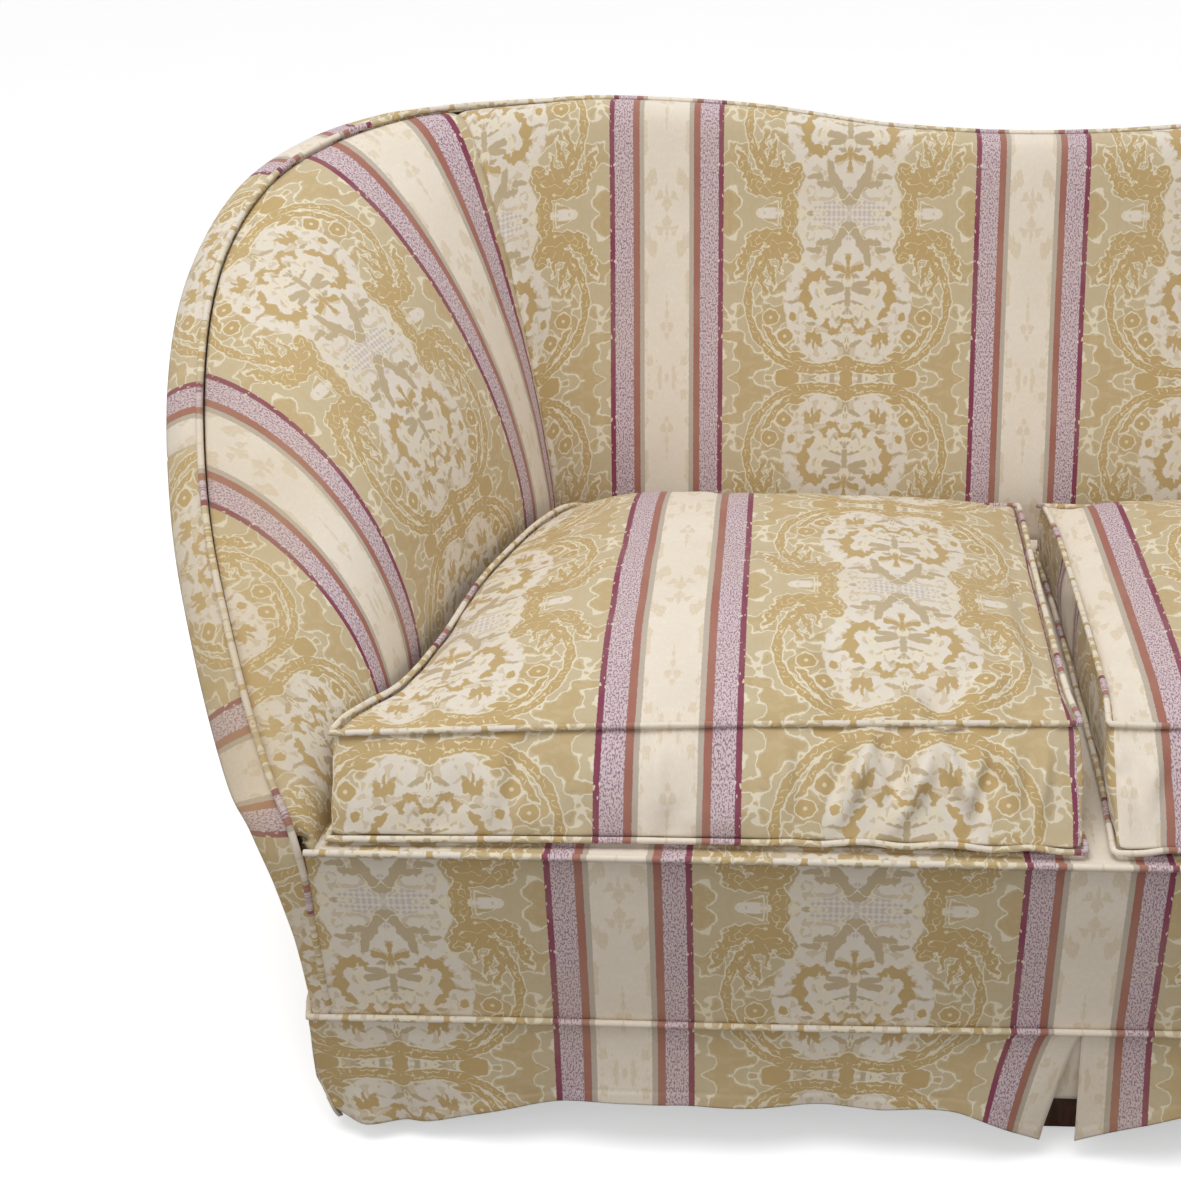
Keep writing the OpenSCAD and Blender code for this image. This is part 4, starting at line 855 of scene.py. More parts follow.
# %% [markdown]
# The facing band is a strip about 5 cm wide, cut across the stripes, that wraps the front and top edge of each
# arm from the skirt to the ear. It is pieced: half way up, a seam joins two lengths whose stripes don't meet.

# %% Facing bands
# The join's place along the band, the middles of the pairs of stripes on its two lengths, and how far up the
# cloth the strip was cut
BAND_JOIN, BAND_PAIRS, BAND_UP = 0.760, (0.390, 1.230), 0.13
BAND_END, BAND_CUT = 12, 0.060


def band_grid(ts, depth):
    us = np.linspace(0, 1, 15)
    t, u = np.meshgrid(ts, us)
    base, across, n = along(RIM, t), along(BAND, t), rim_face(t)
    wide = np.linalg.norm(across, axis=-1)
    full = np.sin(np.pi * u) ** 0.7 * ease(t - SEAM) * np.minimum(BAND_CROWN, wide / 8)
    ripple = soft(base + across * u[..., None], 0.035, 4) * 0.0006 * np.sin(np.pi * u)
    return base + across * u[..., None] + n * (full + ripple - depth)[..., None]


ts = np.linspace(0, BAND_END, 281)
run = arc_length(band_grid(ts, 0)[7:8], axis=1)[0]
join_t = float(np.interp(BAND_JOIN, run, ts))
ts = np.sort(np.concatenate([ts, [join_t, join_t + 0.004]]))
front = band_grid(ts, 0)
run = arc_length(front[7:8], axis=1)[0]
low = run <= np.interp(join_t + 0.001, ts, run)
across = np.where(low, run - BAND_PAIRS[0], run - BAND_PAIRS[1])
sunk = bell(run, BAND_JOIN, 0.0018) * 0.0011
front = front - rim_face(np.broadcast_to(ts, front.shape[:2])) * sunk[None, :, None]
back = band_grid(ts, COVER_T)
cloth = spots(across, arc_length(front) + BAND_UP)
band_left = slab("band_left", front, back, cloth)
wide = arc_length(front)[-1]
band_area = float((np.diff(run) * 0.5 * (wide[:-1] + wide[1:])).sum())
for side, band in both(band_left, "band"):
    clothe(band, "arm_band_" + side)
    under = ["outer_arm_cover_" + side, "arm_post_" + side]
    lay(band, BAND_CUT, float(run[-1]), band_area, "stretched", under)

# %% [markdown]
# The outside of the sofa is covered with plain stretched cloth: it hangs upright over the rails and then bows
# out to the rim. It shows faint pull lines from the tacks. The front border is the flat strip of cloth between
# the seat's front edge and the skirt.

# %% Outside covers and front border
# How much wider than its run an outside cover is cut, its cut height, and the drop of its pattern
COVER_EXTRA, COVER_CUT, COVER_DROP = 1.05, 0.86, 0.02
# Depths of the broad and the fine pull lines
PULL, BORDER_PULL, FINE_PULL, TACK_PULL = 0.0013, 0.0012, 0.0003, 0.0004


def grid_area(p):
    a, b = np.diff(p[:-1], axis=1), np.diff(p[:, :-1], axis=0)
    return float(np.linalg.norm(np.cross(a, b), axis=-1).sum())


def outer_grids(ts, seed):
    ws = np.linspace(0, 1, 88)
    t, w = np.meshgrid(ts, ws)
    p = outer_face(t, w)
    n = unit(np.cross(np.gradient(p, axis=0), np.gradient(p, axis=1)))
    drop = rim_face(t) * ((COVER_T + FIT) * w ** 6)[..., None]
    pull = soft(p, 0.14, seed) * PULL * np.sin(np.pi * np.clip(w, 0, 1)) + soft(p, 0.04, seed + 1) * FINE_PULL
    front = p - drop + n * (np.minimum(pull, 0.0) - 0.0001)[..., None]
    back = front - n * (COVER_T - 0.0003)
    for g in (front, back):
        g[..., 1] = np.maximum(g[..., 1], FRONT_Y + COVER_T + FIT)
    run = arc_length(p[40:41], axis=1)[0]
    cloth = spots(run, p[..., 2] - COVER_DROP)
    return front[:, ::-1], back[:, ::-1], cloth[:, ::-1], float(run[-1])


ts = np.concatenate([[0.1], np.linspace(SEAM, EAR, 120)])
front, back, cloth, width = outer_grids(ts, 11)
outer_arm_left = slab("outer_arm_left", front, back, cloth)
arm_area = grid_area(front)
for side, cover in both(outer_arm_left, "outer_arm"):
    clothe(cover, "outer_arm_cover_" + side)
    under = ["side_rail_" + side, "arm_timber_" + side]
    lay(cover, width * COVER_EXTRA, COVER_CUT, arm_area, "stretched", under)

front, back, cloth, width = outer_grids(np.linspace(EAR, LAST - EAR, 161), 12)
cloth[..., 0] -= cloth[:, 80, 0][:, None]
outer_back = slab("outer_back", front, back, cloth)
clothe(outer_back, "outer_back_cover")
lay(outer_back, width * COVER_EXTRA, COVER_CUT, grid_area(front), "stretched", ["back_rail", "back_top_rail"])

BORDER_Z, BORDER_LATTICE, BORDER_CUT = DECK_H - COVER_T, 0.313, (1.56, 0.30)


def border_grid(depth):
    zs = np.linspace(LEG_H, BORDER_Z, 61)[:, None]
    ts = np.linspace(0, FRONT_TOP, 200)
    rim = along(RIM, ts)
    edge = np.interp(zs, rim[:, 2], rim[:, 0]) + FIT + WELT_R * ease((zs - 0.265) / 0.1)
    x = edge * -np.linspace(-1, 1, 241)
    flat = spots(x, FRONT_Y, zs)
    pull = soft(flat, 0.10, 21) * BORDER_PULL + soft(flat, 0.03, 22) * FINE_PULL
    # Its tacks are under the seat's edge, so their pull shows only near the top
    pull = pull + TACK_PULL * np.sin(x * 60) * (zs > 0.3)
    flat[..., 1] += depth + 0.0006 - np.minimum(pull, 0.0006)
    return flat


front, back = border_grid(0), border_grid(COVER_T - 0.0007)
cloth = spots(front[..., 0], front[..., 2] - BORDER_LATTICE)
border = slab("border", front, back, cloth)
clothe(border, "front_border")
lay(border, *BORDER_CUT, grid_area(front), "stretched", ["front_rail"])

# %% [markdown]
# The skirt hangs loose from a welted seam 16 cm above the floor. Its hem is cut in long scallops, so it swings
# out a little and ripples. At the front corner it is bunched, and a slit in the middle shows a block leg. Cloth
# this short hardly falls into new folds, so its few soft folds are drawn as waves that grow towards the hem.

# %% Skirt
HEM_GAP, HEM_RISE, SKIRT_T, SKIRT_CUT = 0.004, 0.064, 0.003, 0.175
FRONT_CUT, SIDE_CUT, BACK_CUT = 0.80, 0.88, 1.52
SKIRT_WAVE, CRUMPLE, FINE_CRUMPLE, HEM_FOLD = 0.005, 0.0016, 0.0004, 0.0006
SLIT_LEFT, SLIT_RIGHT, SLIT_REACH = 0.037, 0.004, 0.34
SKIRT_REAR = 10.5
CORNER_REACH, CORNER_TUCK, CORNER_ROUND, HEM_SEWN = 0.3, 0.024, 0.018, 0.014


def hem_line(table, u):
    return HEM_GAP + HEM_RISE * along(np.array(table)[:, None], u * (len(table) - 1))[..., 0]


def skirt_sheet(name, line, out, hem_z, wave, across, seed, flip, corner):
    """line and out give the seam and its outward direction at each column; corner is 1 at the bunched front
    corner, where the skirt hangs straight, is rounded off at its hem and draws in below the rails."""
    w = np.linspace(0, 1, 46)[:, None] * np.ones(len(across))
    hem_z = hem_z + CORNER_ROUND * ((corner - 0.9) / 0.1).clip(0) ** 2
    swing = SWING * w ** 1.3 * (1 - 0.9 * ease(corner / 0.8)) + wave * w * w
    z = SEAM_H + (hem_z - SEAM_H) * w
    spot = spots(*line.T, z)
    crumple = soft(spot, 0.055, seed) * CRUMPLE * w + soft(spot, 0.022, seed + 2) * FINE_CRUMPLE
    # The hem is turned up and sewn above its edge
    above = (SEAM_H - hem_z) * (1 - w)
    fold = HEM_FOLD * ease((HEM_SEWN - above) / 0.003) - 0.0005 * bell(above, HEM_SEWN, 0.0012)
    out = spots(*out.T, 0.0)
    front = spot + out * (swing + crumple + fold + SKIRT_T - 0.0004)[..., None]
    back = spot + out * (swing + crumple + 0.0009)[..., None]
    cloth = spots(across, z - BORDER_LATTICE)
    tuck = CORNER_TUCK * ease(corner / 0.8) * ((LEG_H + 0.012 - z) / LEG_H).clip(0, 1) ** 1.2
    for g in (front, back):
        g[..., 0] -= np.sign(g[..., 0]) * tuck
    if flip:
        front, back, cloth = front[:, ::-1], back[:, ::-1], cloth[:, ::-1]
    return slab(name, front, back, cloth), grid_area(front)


def front_skirt(name, side, open_x, seed):
    u = np.linspace(0, 1, 150)
    corner = (1 - u) ** 8
    x = BASE_HALF + (FIT - BASE_HALF) * u
    line, out = spots(side * (x + corner * SKIRT_T), FRONT_Y), spots(side * corner, -1.0)
    wave = SKIRT_WAVE * np.sin(5 * np.pi * u) + 0.0022 * np.sin(11.5 * np.pi * u + seed) * ease(u / 0.1)
    # Two folds stand close together beside the corner
    wave = wave + 0.006 * bell(u, 0.045, 0.02) - 0.005 * bell(u, 0.09, 0.02)
    bunch = (1 - u / CORNER_REACH).clip(0)
    obj, area = skirt_sheet(name, line, out, hem_line(HEM, u), wave, side * x, seed, side < 0, bunch)
    # The slit opens towards the hem: each column shifts in proportion to its depth below the seam
    co = points_of(obj)
    depth = np.clip((SEAM_H - co[:, 2]) / (SEAM_H - HEM_GAP), 0, 1)
    near = ease((SLIT_REACH - np.abs(co[:, 0])) / SLIT_REACH)
    co[:, 0] += side * near * open_x * depth ** 0.8
    move_points(obj, co)
    return obj, area


def round_skirt(name, t0, t1, table, n, seed, start):
    u = np.linspace(0, 1, n)
    t = t0 + (t1 - t0) * u
    line, out = along(BASE, t), outward(along(BASE, t + 0.05) - along(BASE, t - 0.05))
    mitre = ((1 - u) ** 16 if t0 == 0 else u * 0)[:, None]
    out = out + (np.array([-1.0, -1.0]) - out) * mitre
    wave = SKIRT_WAVE * np.sin(6 * np.pi * u) + 0.0018 * np.sin(17 * np.pi * u + seed)
    bunch = (1 - u / CORNER_REACH).clip(0) * (t0 == 0)
    return skirt_sheet(name, line, out, hem_line(table, u), wave, arc_length(line) + start, seed, False, bunch)


for side, sign, open_x, seed in (("left", -1, SLIT_LEFT, 31), ("right", 1, SLIT_RIGHT, 32)):
    skirt, area = front_skirt("skirt_cloth_front_" + side, sign, open_x, seed)
    clothe(skirt, "skirt_front_" + side)
    lay(skirt, FRONT_CUT, SKIRT_CUT, area, "hung", ["front_rail", "front_border"])
skirt_left, area = round_skirt("skirt_cloth_left", 0, SKIRT_REAR, SIDE_HEM, 170, 33, 0.0)
for side, skirt in both(skirt_left, "skirt_cloth"):
    clothe(skirt, "skirt_" + side)
    lay(skirt, SIDE_CUT, SKIRT_CUT, area, "hung", ["side_rail_" + side])
skirt_back, area = round_skirt("skirt_cloth_back", SKIRT_REAR, LAST - SKIRT_REAR, BACK_HEM, 260, 34, -0.75)
clothe(skirt_back, "skirt_back")
lay(skirt_back, BACK_CUT, SKIRT_CUT, area, "hung", ["back_rail"])

# %% [markdown]
# Under the cushions lies the seat deck: felt over hessian and webbing, covered with the same cloth. Its surface
# dips slightly between the straps.

# %% Seat deck
DECK_END, DECK_SHIFT = 12.3, 0.08
DECK_DIP, DECK_LUMP, STRAP_DIP = 0.0022, 0.0016, 0.0006
ts = np.linspace(FRONT_TOP, DECK_END, 88)
edge = along(FOOT, ts)
edge[0, 1] = FRONT_Y + 0.0002
share = np.linspace(-1, 1, 161)
x = edge[:, :1] * share * 0.9995
top = spots(x, edge[:, 1:], DECK_H)
inside = np.minimum(np.arange(len(ts))[:, None] / 6.0, (1 - np.abs(share)) * 12).clip(0, 1)
dip = DECK_DIP + DECK_LUMP * soft(top, 0.12, 41) + STRAP_DIP * np.cos(x * 54.6)
top[..., 2] -= 0.0002 + ease(inside) * dip
under = top.copy()
under[..., 2] = PAD_Z
under[..., 1] = np.maximum(under[..., 1], FRONT_Y + 2 * COVER_T)
deck = slab("seat_deck", top, under, top[..., :2] + [0.0, DECK_SHIFT])
clothe(deck, "deck_cover", "deck_felt", "seat_hessian")
print("deck", len(deck.data.vertices), "points")

# %% [markdown]
# Welts are cords wrapped in a strip of cloth and sewn into a seam. Each one follows a path, so Geometry Nodes
# sweep a small circle along the path's points. The cord was sewn in by hand, so its line wavers a little. Each
# point of the swept welt then takes its place on the cloth from the nearest point of the path.

# %% Welts swept by Geometry Nodes
def geometry_group(name, inputs):
    """A Geometry Nodes tree that takes a geometry, some values and a material."""
    return group(name, [("Geometry", "Geometry", None)] + inputs + [("Material", "Material", None)],
                 [("Geometry", "Geometry")], "GeometryNodeTree")


def finish_tree(tree, given, out, made):
    """Every tree ends in Realize Instances and Set Material."""
    real = add_node(tree, "GeometryNodeRealizeInstances", {0: made})
    painted = add_node(tree, "GeometryNodeSetMaterial", {"Geometry": real, "Material": given["Material"]})
    feed(tree, out[0], painted)
    return tree


def welt_tree():
    tree, given, out = geometry_group("welt", [("Radius", "Float", WELT_R), ("Step", "Float", 0.006),
                                               ("Waver", "Float", 0.0009), ("Seed", "Float", 0.0)])
    line = add_node(tree, "GeometryNodeMeshToCurve", {0: given["Geometry"]})
    line = add_node(tree, "GeometryNodeResampleCurve", {"Curve": line, "Length": given["Step"]}, mode="LENGTH")
    here = add_node(tree, "GeometryNodeInputPosition", {})
    drift = add_node(tree, "ShaderNodeTexNoise", {"Vector": here, "W": given["Seed"], "Scale": 22.0,
                                                  "Detail": 2.0}, "Color", noise_dimensions="4D")
    drift = add_node(tree, "ShaderNodeVectorMath", {0: drift, 1: (0.5, 0.5, 0.5)}, operation="SUBTRACT")
    drift = add_node(tree, "ShaderNodeVectorMath", {0: drift, "Scale": given["Waver"]}, operation="SCALE")
    line = add_node(tree, "GeometryNodeSetPosition", {"Geometry": line, "Offset": drift})
    circle = add_node(tree, "GeometryNodeCurvePrimitiveCircle", {"Resolution": 12, "Radius": given["Radius"]},
                      "Curve")
    fed = {"Curve": line, "Profile Curve": circle, "Fill Caps": True}
    tube = add_node(tree, "GeometryNodeCurveToMesh", fed)
    return finish_tree(tree, given, out, add_node(tree, "GeometryNodeSetShadeSmooth", {0: tube}))


WELT = welt_tree()


def grow(name, base, tree, values):
    """Run a Geometry Nodes tree on a helper object and keep the result as a plain mesh."""
    modifier = base.modifiers.new(tree.name, "NODES")
    modifier.node_group = tree
    for item in tree.interface.items_tree:
        if item.item_type == "SOCKET" and item.in_out == "INPUT" and item.name in values:
            modifier[item.identifier] = values[item.name]
    graph = bpy.context.evaluated_depsgraph_get()
    graph.update()
    mesh = bpy.data.meshes.new_from_object(base.evaluated_get(graph))
    mesh.name = name
    bpy.data.objects.remove(base)
    return put(name, mesh)


# Cloth wrapped round a cord is pressed a little thinner in its seam than the solid model's welt
WELT_SHARE, CUSHION_WELT_SHARE = 0.80, 0.72
# The strips were cut straight across the stripes, so a welt shows one row of the pattern
WELT_CUT = 0.115


def welt(name, path, closed, seed, places=None, share=WELT_SHARE):
    """A welt along the points of a path; places says where across the cloth each point's strip was cut."""
    path = np.asarray(path, float)
    run = arc_length(path)
    places = run - run[-1] / 2 if places is None else places
    made = grow(name, line_of(path, closed), WELT, {"Radius": WELT_R * share, "Seed": float(seed),
                                                    "Material": MATERIALS["welt_cloth"]})
    co = points_of(made)
    near = np.array([((path - c) ** 2).sum(1).argmin() for c in co])
    ahead = ((co - path[near]) * unit(np.gradient(path, axis=0))[near]).sum(1)
    slope = np.gradient(places) / np.gradient(run)
    cloth = spots(places[near] + ahead * slope[near], WELT_CUT + co[:, 2] - path[near, 2])
    corners = np.zeros(len(made.data.loops), np.int32)
    made.data.loops.foreach_get("vertex_index", corners)
    layer = made.data.uv_layers.new(name=CLOTH_MAP)
    layer.data.foreach_set("uv", cloth[corners].astype(np.float32).ravel())
    return made


def face_normal_at(t):
    """The direction that the inner face looks in at the rim."""
    e = 0.02
    along_t = inner_face(t + e, 1.0) - inner_face(t - e, 1.0)
    up = inner_face(t, 1.0) - inner_face(t, 1.0 - e)
    return unit(np.cross(along_t, up))


ts = np.linspace(1.0, LAST - 1.0, 361)
s = np.minimum(ts, LAST - ts)
n = face_normal_at(np.clip(ts, FRONT_TOP + 0.02, LAST - FRONT_TOP - 0.02))
# At the front edge it looks forwards, and further up as the inner face does
k = ease((s - 1.8) / 1.2)[:, None]
# Below the seat it is tucked into the seam between the band and the border
proud = (1 - 1.3 * ease((2.0 - s) / 0.5))[:, None]
path = along(RIM, ts) + unit(np.array([0, -1.0, 0]) * (1 - k) + n * k + rim_face(ts)) * WELT_R * proud
# Along the back the stuffing rolls over the rim and half hides its welt
behind = ease((s - EAR) / 1.5)[:, None]
path = path + behind * np.array([0, 0.0025, -0.0045])
start = along(RIM, 0.5) - along(RIM, 1.0)
foot_left = np.array([[path[0, 0] + start[0], path[0, 1], SEAM_H + 0.0115]])
path = np.concatenate([foot_left, path, foot_left * [-1, 1, 1]])
rim_welt = welt("rim_piping", path, False, 1)

# The skirt's welt lies on its seam, round the sides and the back and home along the front
OFF = WELT_R + FIT
seam = along(BASE, np.linspace(0, LAST, 257))
out = outward(np.gradient(seam, axis=0))
# At the front corners it points out between the side and the front
out[0], out[-1] = (-0.9, -0.9), (0.9, -0.9)
side_part = spots(*(seam + out * OFF).T, SEAM_H + OFF)
xs = np.linspace(1, -1, 161)[1:-1] * BASE_HALF
waver = 0.0012 * np.sin(xs * 9 + 1) * (1 - (xs / BASE_HALF) ** 8)
front_part = spots(xs, FRONT_Y - OFF, SEAM_H + OFF + waver)
run = arc_length(side_part)
skirt_welt = welt("skirt_piping", np.concatenate([side_part, front_part]), True, 2,
                  np.concatenate([run - run[-1] + BASE_HALF, front_part[:, 0]]))
xs = np.linspace(-1, 1, 120) * (HALF_W - 2 * WELT_R)
lift = WELT_R * math.sin(math.radians(45))
front_welt = welt("front_piping", spots(xs, FRONT_Y - lift, DECK_H + lift), False, 3)
for piece, node in ((rim_welt, "rim_welt"), (skirt_welt, "skirt_welt"), (front_welt, "front_welt")):
    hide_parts(node)
    dress(piece, "welt_cloth")
print("welts:", [len(o.data.polygons) for o in (rim_welt, skirt_welt, front_welt)], "faces")

# %% [markdown]
# Each cushion is a box cushion: a top and a bottom panel joined by a boxing strip, with a welt in both seams.
# It starts as a grid in that form, a little slack. Blender's cloth simulation then blows it up from inside,
# while its seams are held, so the panels crown and the cloth puckers along the welts. How far a point may
# travel is capped, so that the cushion stays in its place on the deck.

# %% Cushion form
SIDE_GAP, MIDDLE_GAP, FRONT_SET = 0.006, 0.014, 0.016
LEAN_ARM, LEAN_MIDDLE, BULGE, DRAW_IN = 0.052, 0.092, 0.012, 0.007
BOXING_H, CROWN = 0.085, 0.040
REAR_DROP, REAR_ROUND = 0.026, 0.045
CUSHION_FLOOR = DECK_H + FIT
LOWER_SEAM = CUSHION_FLOOR + 2 * WELT_R
CUSHION_T = (2.2, 10.6)
ROWS, COLS, RISE_ROWS = 46, 46, 9
# How far up the cloth a cushion's upper front seam lies
TOP_UP = 0.21
# The crown before the simulation, as a share, the pressure inside, and how far a point may travel
SLACK_CROWN, PRESSURE, TRAVEL = 0.72, 4.0, 0.022


def cushion_plan(p, q):
    f = along(FOOT, CUSHION_T[0] + (CUSHION_T[1] - CUSHION_T[0]) * p)
    y = f[..., 1] + (FRONT_Y + FRONT_SET - along(FOOT, CUSHION_T[0])[1]) * (1 - p) ** 6
    draw = DRAW_IN * np.sin(np.pi * p)
    x0 = f[..., 0] + SIDE_GAP + 2 * WELT_R + draw
    x1 = -MIDDLE_GAP / 2 - 2 * WELT_R - draw
    pull = DRAW_IN * np.sin(np.pi * q) * ((1 - p) ** 6 - p ** 6)
    # The rear corner beside the arm is rounded
    corner = REAR_ROUND * p ** 9 * (1 - q) ** 6
    return spots(x0 + (x1 - x0) * q + corner, y + pull - corner * 0.6)


def cushion_top(p, q, crown=1.0):
    p, q = np.broadcast_arrays(np.asarray(p, float), np.asarray(q, float))
    c = cushion_plan(p, q)
    lean = LEAN_ARM + (LEAN_MIDDLE - LEAN_ARM) * q
    # Full and steep at the rear and beside the arm, gentler towards the front and the middle of the sofa
    hump = 1 - np.abs(2 * p - 1) ** np.where(p > 0.5, 5, 2.4)
    hump = hump * (1 - np.abs(2 * q - 1) ** np.where(q < 0.5, 4, 2.6))
    # The rear seam is pressed down behind the crown, where it meets the back
    return spots(c[..., 0], c[..., 1] + lean * (1 - p) ** 2,
                 LOWER_SEAM + BOXING_H + CROWN * crown * hump - REAR_DROP * p ** 8)


def cushion_low(p, q):
    p, q = np.broadcast_arrays(np.asarray(p, float), np.asarray(q, float))
    c = cushion_plan(p, q)
    edge = np.maximum(np.abs(2 * p - 1), np.abs(2 * q - 1))
    return spots(c[..., 0], c[..., 1], CUSHION_FLOOR + 2 * WELT_R * edge ** 8)


def seam_loop(rows, cols):
    """Steps round a seam from the front corner beside the arm: along the front, up the inner side and home."""
    return np.array([(0, j) for j in range(cols)] + [(i, cols) for i in range(rows)]
                    + [(rows, j) for j in range(cols, 0, -1)] + [(i, 0) for i in range(rows, 0, -1)])


def cushion_mesh(name, cloth_shift, crown):
    """The grid of a left cushion: top, bottom and boxing share their seam points."""
    p, q = np.meshgrid(np.linspace(0, 1, ROWS + 1), np.linspace(0, 1, COLS + 1), indexing="ij")
    top, low = cushion_top(p, q, crown), cushion_low(p, q)
    n = (ROWS + 1) * (COLS + 1)

    def at(i, j):
        return i * (COLS + 1) + j

    loop = seam_loop(ROWS, COLS)
    m = len(loop)
    ids = at(*loop.T)
    a, b = low.reshape(-1, 3)[ids], top.reshape(-1, 3)[ids]
    u, v = (loop / (ROWS, COLS)).T
    # The boxing bulges forwards at the front and hardly at all elsewhere
    out = spots(np.where(v == 1, 0.0025, np.where(v == 0, -0.0025, 0)) * np.sin(np.pi * u),
                np.where(u == 0, -BULGE * (0.4 + 0.6 * np.sin(np.pi * v)), np.where(u == 1, 0.001, 0)), 0.0)
    walls = []
    for k in range(1, RISE_ROWS):
        s = k / RISE_ROWS
        walls.append(a + (b - a) * s + out * (4 * s * (1 - s)))
    points = np.concatenate([top.reshape(-1, 3), low.reshape(-1, 3)] + walls)
    # Cloth places: the top by its run in depth, the front boxing goes on from the top
    depth = arc_length(top)
    cloth_top = spots(top[..., 0] + cloth_shift, TOP_UP - depth).reshape(-1, 2)
    cloth_low = spots(low[..., 0] + cloth_shift, low[..., 1] + 0.1).reshape(-1, 2)
    faces, uvs = [], []
    for i in range(ROWS):
        for j in range(COLS):
            quad = [at(i, j), at(i, j + 1), at(i + 1, j + 1), at(i + 1, j)]
            faces.append(quad)
            uvs += [cloth_top[k] for k in quad]
            quad = quad[::-1]
            faces.append([n + k for k in quad])
            uvs += [cloth_low[k] for k in quad]
    rise = np.linalg.norm(b - a, axis=1)

    def wall_id(k, row):
        return n + ids[k] if row == 0 else ids[k] if row == RISE_ROWS else 2 * n + (row - 1) * m + k

    def wall_cloth(k, row, side):
        drop = rise[k] * (1 - row / RISE_ROWS)
        x, y = b[k][:2]
        if side in (0, 2):
            return (x + cloth_shift, (TOP_UP if side == 0 else 0.0) + drop)
        return (y + 0.9 + 0.05 * side, TOP_UP + drop)

    for k in range(m):
        nxt = (k + 1) % m
        side = 0 if k < COLS else 1 if k < COLS + ROWS else 2 if k < 2 * COLS + ROWS else 3
        for row in range(RISE_ROWS):
            quad = [(k, row), (nxt, row), (nxt, row + 1), (k, row + 1)]
            faces.append([wall_id(*corner) for corner in quad])
            uvs += [wall_cloth(*corner, side) for corner in quad]
    obj = put_mesh(name, points, faces, uvs)
    held = obj.vertex_groups.new(name="seams")
    held.add([int(k) for k in ids] + [int(n + k) for k in ids], 1.0, "REPLACE")
    return obj


def swell(obj, pressure, cap, frames=20):
    """Blow the cushion up with the cloth simulation, and cap how far a point moves."""
    start = points_of(obj)
    cloth = obj.modifiers.new("cloth", "CLOTH")
    settings = cloth.settings
    settings.use_pressure, settings.uniform_pressure_force = True, pressure
    settings.effector_weights.gravity = 0
    settings.vertex_group_mass = "seams"
    settings.tension_stiffness = settings.compression_stiffness = 18
    settings.shear_stiffness, settings.bending_stiffness = 6, 0.4
    settings.shrink_min = -0.012
    settings.quality, settings.mass = 6, 0.3
    cloth.collision_settings.use_collision = cloth.collision_settings.use_self_collision = False
    cloth.point_cache.frame_start, cloth.point_cache.frame_end = 1, frames
    scene = bpy.context.scene
    for f in range(1, frames + 1):
        scene.frame_set(f)
    graph = bpy.context.evaluated_depsgraph_get()
    done = obj.evaluated_get(graph)
    co = np.zeros(len(obj.data.vertices) * 3, np.float32)
    done.data.vertices.foreach_get("co", co)
    move = co.reshape(-1, 3) - start
    obj.modifiers.remove(cloth)
    scene.frame_set(1)
    size = np.linalg.norm(move, axis=1, keepdims=True)
    move = move * np.minimum(1, cap / np.maximum(size, 1e-9))
    move_points(obj, start + move)
    print(obj.name, "swelled up to", round(float(size.max()) * 1000, 1), "mm, kept", cap * 1000)


# %% [markdown]
# After the simulation each face of the grid is divided twice, which smooths it. Then come marks of use that are
# measured from the photograph rather than simulated: the slack folds at the front of the left cushion near the
# middle, where people sit down, and dents on its top. Each fold is a soft ridge with a hollow beside it.

# %% Marks of use and the finished cushions
# x, z of the middle of a fold, its direction in degrees, half length, half width, height; on the front boxing
BOXING_FOLDS = [(-0.235, 0.432, 62, 0.030, 0.008, 0.0040), (-0.205, 0.440, 118, 0.026, 0.007, -0.0035),
                (-0.175, 0.428, 55, 0.034, 0.009, 0.0045), (-0.140, 0.436, 125, 0.030, 0.008, 0.0040),
                (-0.110, 0.425, 70, 0.028, 0.007, -0.0030), (-0.085, 0.438, 110, 0.024, 0.008, 0.0035),
                (-0.290, 0.436, 100, 0.028, 0.009, -0.0022), (-0.055, 0.428, 80, 0.026, 0.007, 0.0028),
                (-0.430, 0.430, 95, 0.030, 0.010, 0.0018), (-0.570, 0.432, 84, 0.030, 0.010, -0.0018)]
# The same on the top panel, in x and y
TOP_FOLDS = [(-0.215, -0.335, 35, 0.060, 0.016, 0.0035), (-0.150, -0.325, 120, 0.050, 0.014, -0.0040),
             (-0.105, -0.300, 60, 0.060, 0.015, 0.0035), (-0.255, -0.285, 100, 0.070, 0.020, -0.0035),
             (-0.060, -0.250, 95, 0.080, 0.014, 0.0025), (-0.330, -0.330, 15, 0.050, 0.015, 0.0020),
             (-0.300, -0.060, 160, 0.090, 0.030, -0.0030), (-0.480, -0.180, 40, 0.100, 0.035, -0.0025),
             (-0.045, -0.120, 88, 0.110, 0.012, -0.0022), (-0.640, -0.250, 75, 0.070, 0.012, -0.0022)]


# Heights of the filling's lumps, how far it has settled, and the cloth's fine unevenness
LUMP, SETTLED, FINE_LUMP, WELT_SLACK = 0.0022, 0.0008, 0.0007, 0.0022


def fold_heights(a, b, folds):
    total = np.zeros_like(a)
    for x, y, turn, long, wide, high in folds:
        c, s = math.cos(math.radians(turn)), math.sin(math.radians(turn))
        r, o = (a - x) * c + (b - y) * s, -(a - x) * s + (b - y) * c
        total += high * bell(r, 0, long) * (bell(o, 0, wide) - 0.5 * bell(o, wide * 1.6, wide))
    return total


def subdivide(obj, levels):
    """Divide and smooth a mesh, and keep the result as its own mesh."""
    modifier = obj.modifiers.new("smooth", "SUBSURF")
    modifier.levels = modifier.render_levels = levels
    modifier.uv_smooth = "NONE"
    graph = bpy.context.evaluated_depsgraph_get()
    mesh = bpy.data.meshes.new_from_object(obj.evaluated_get(graph))
    obj.modifiers.clear()
    obj.data = mesh
    mesh.polygons.foreach_set("use_smooth", [True] * len(mesh.polygons))


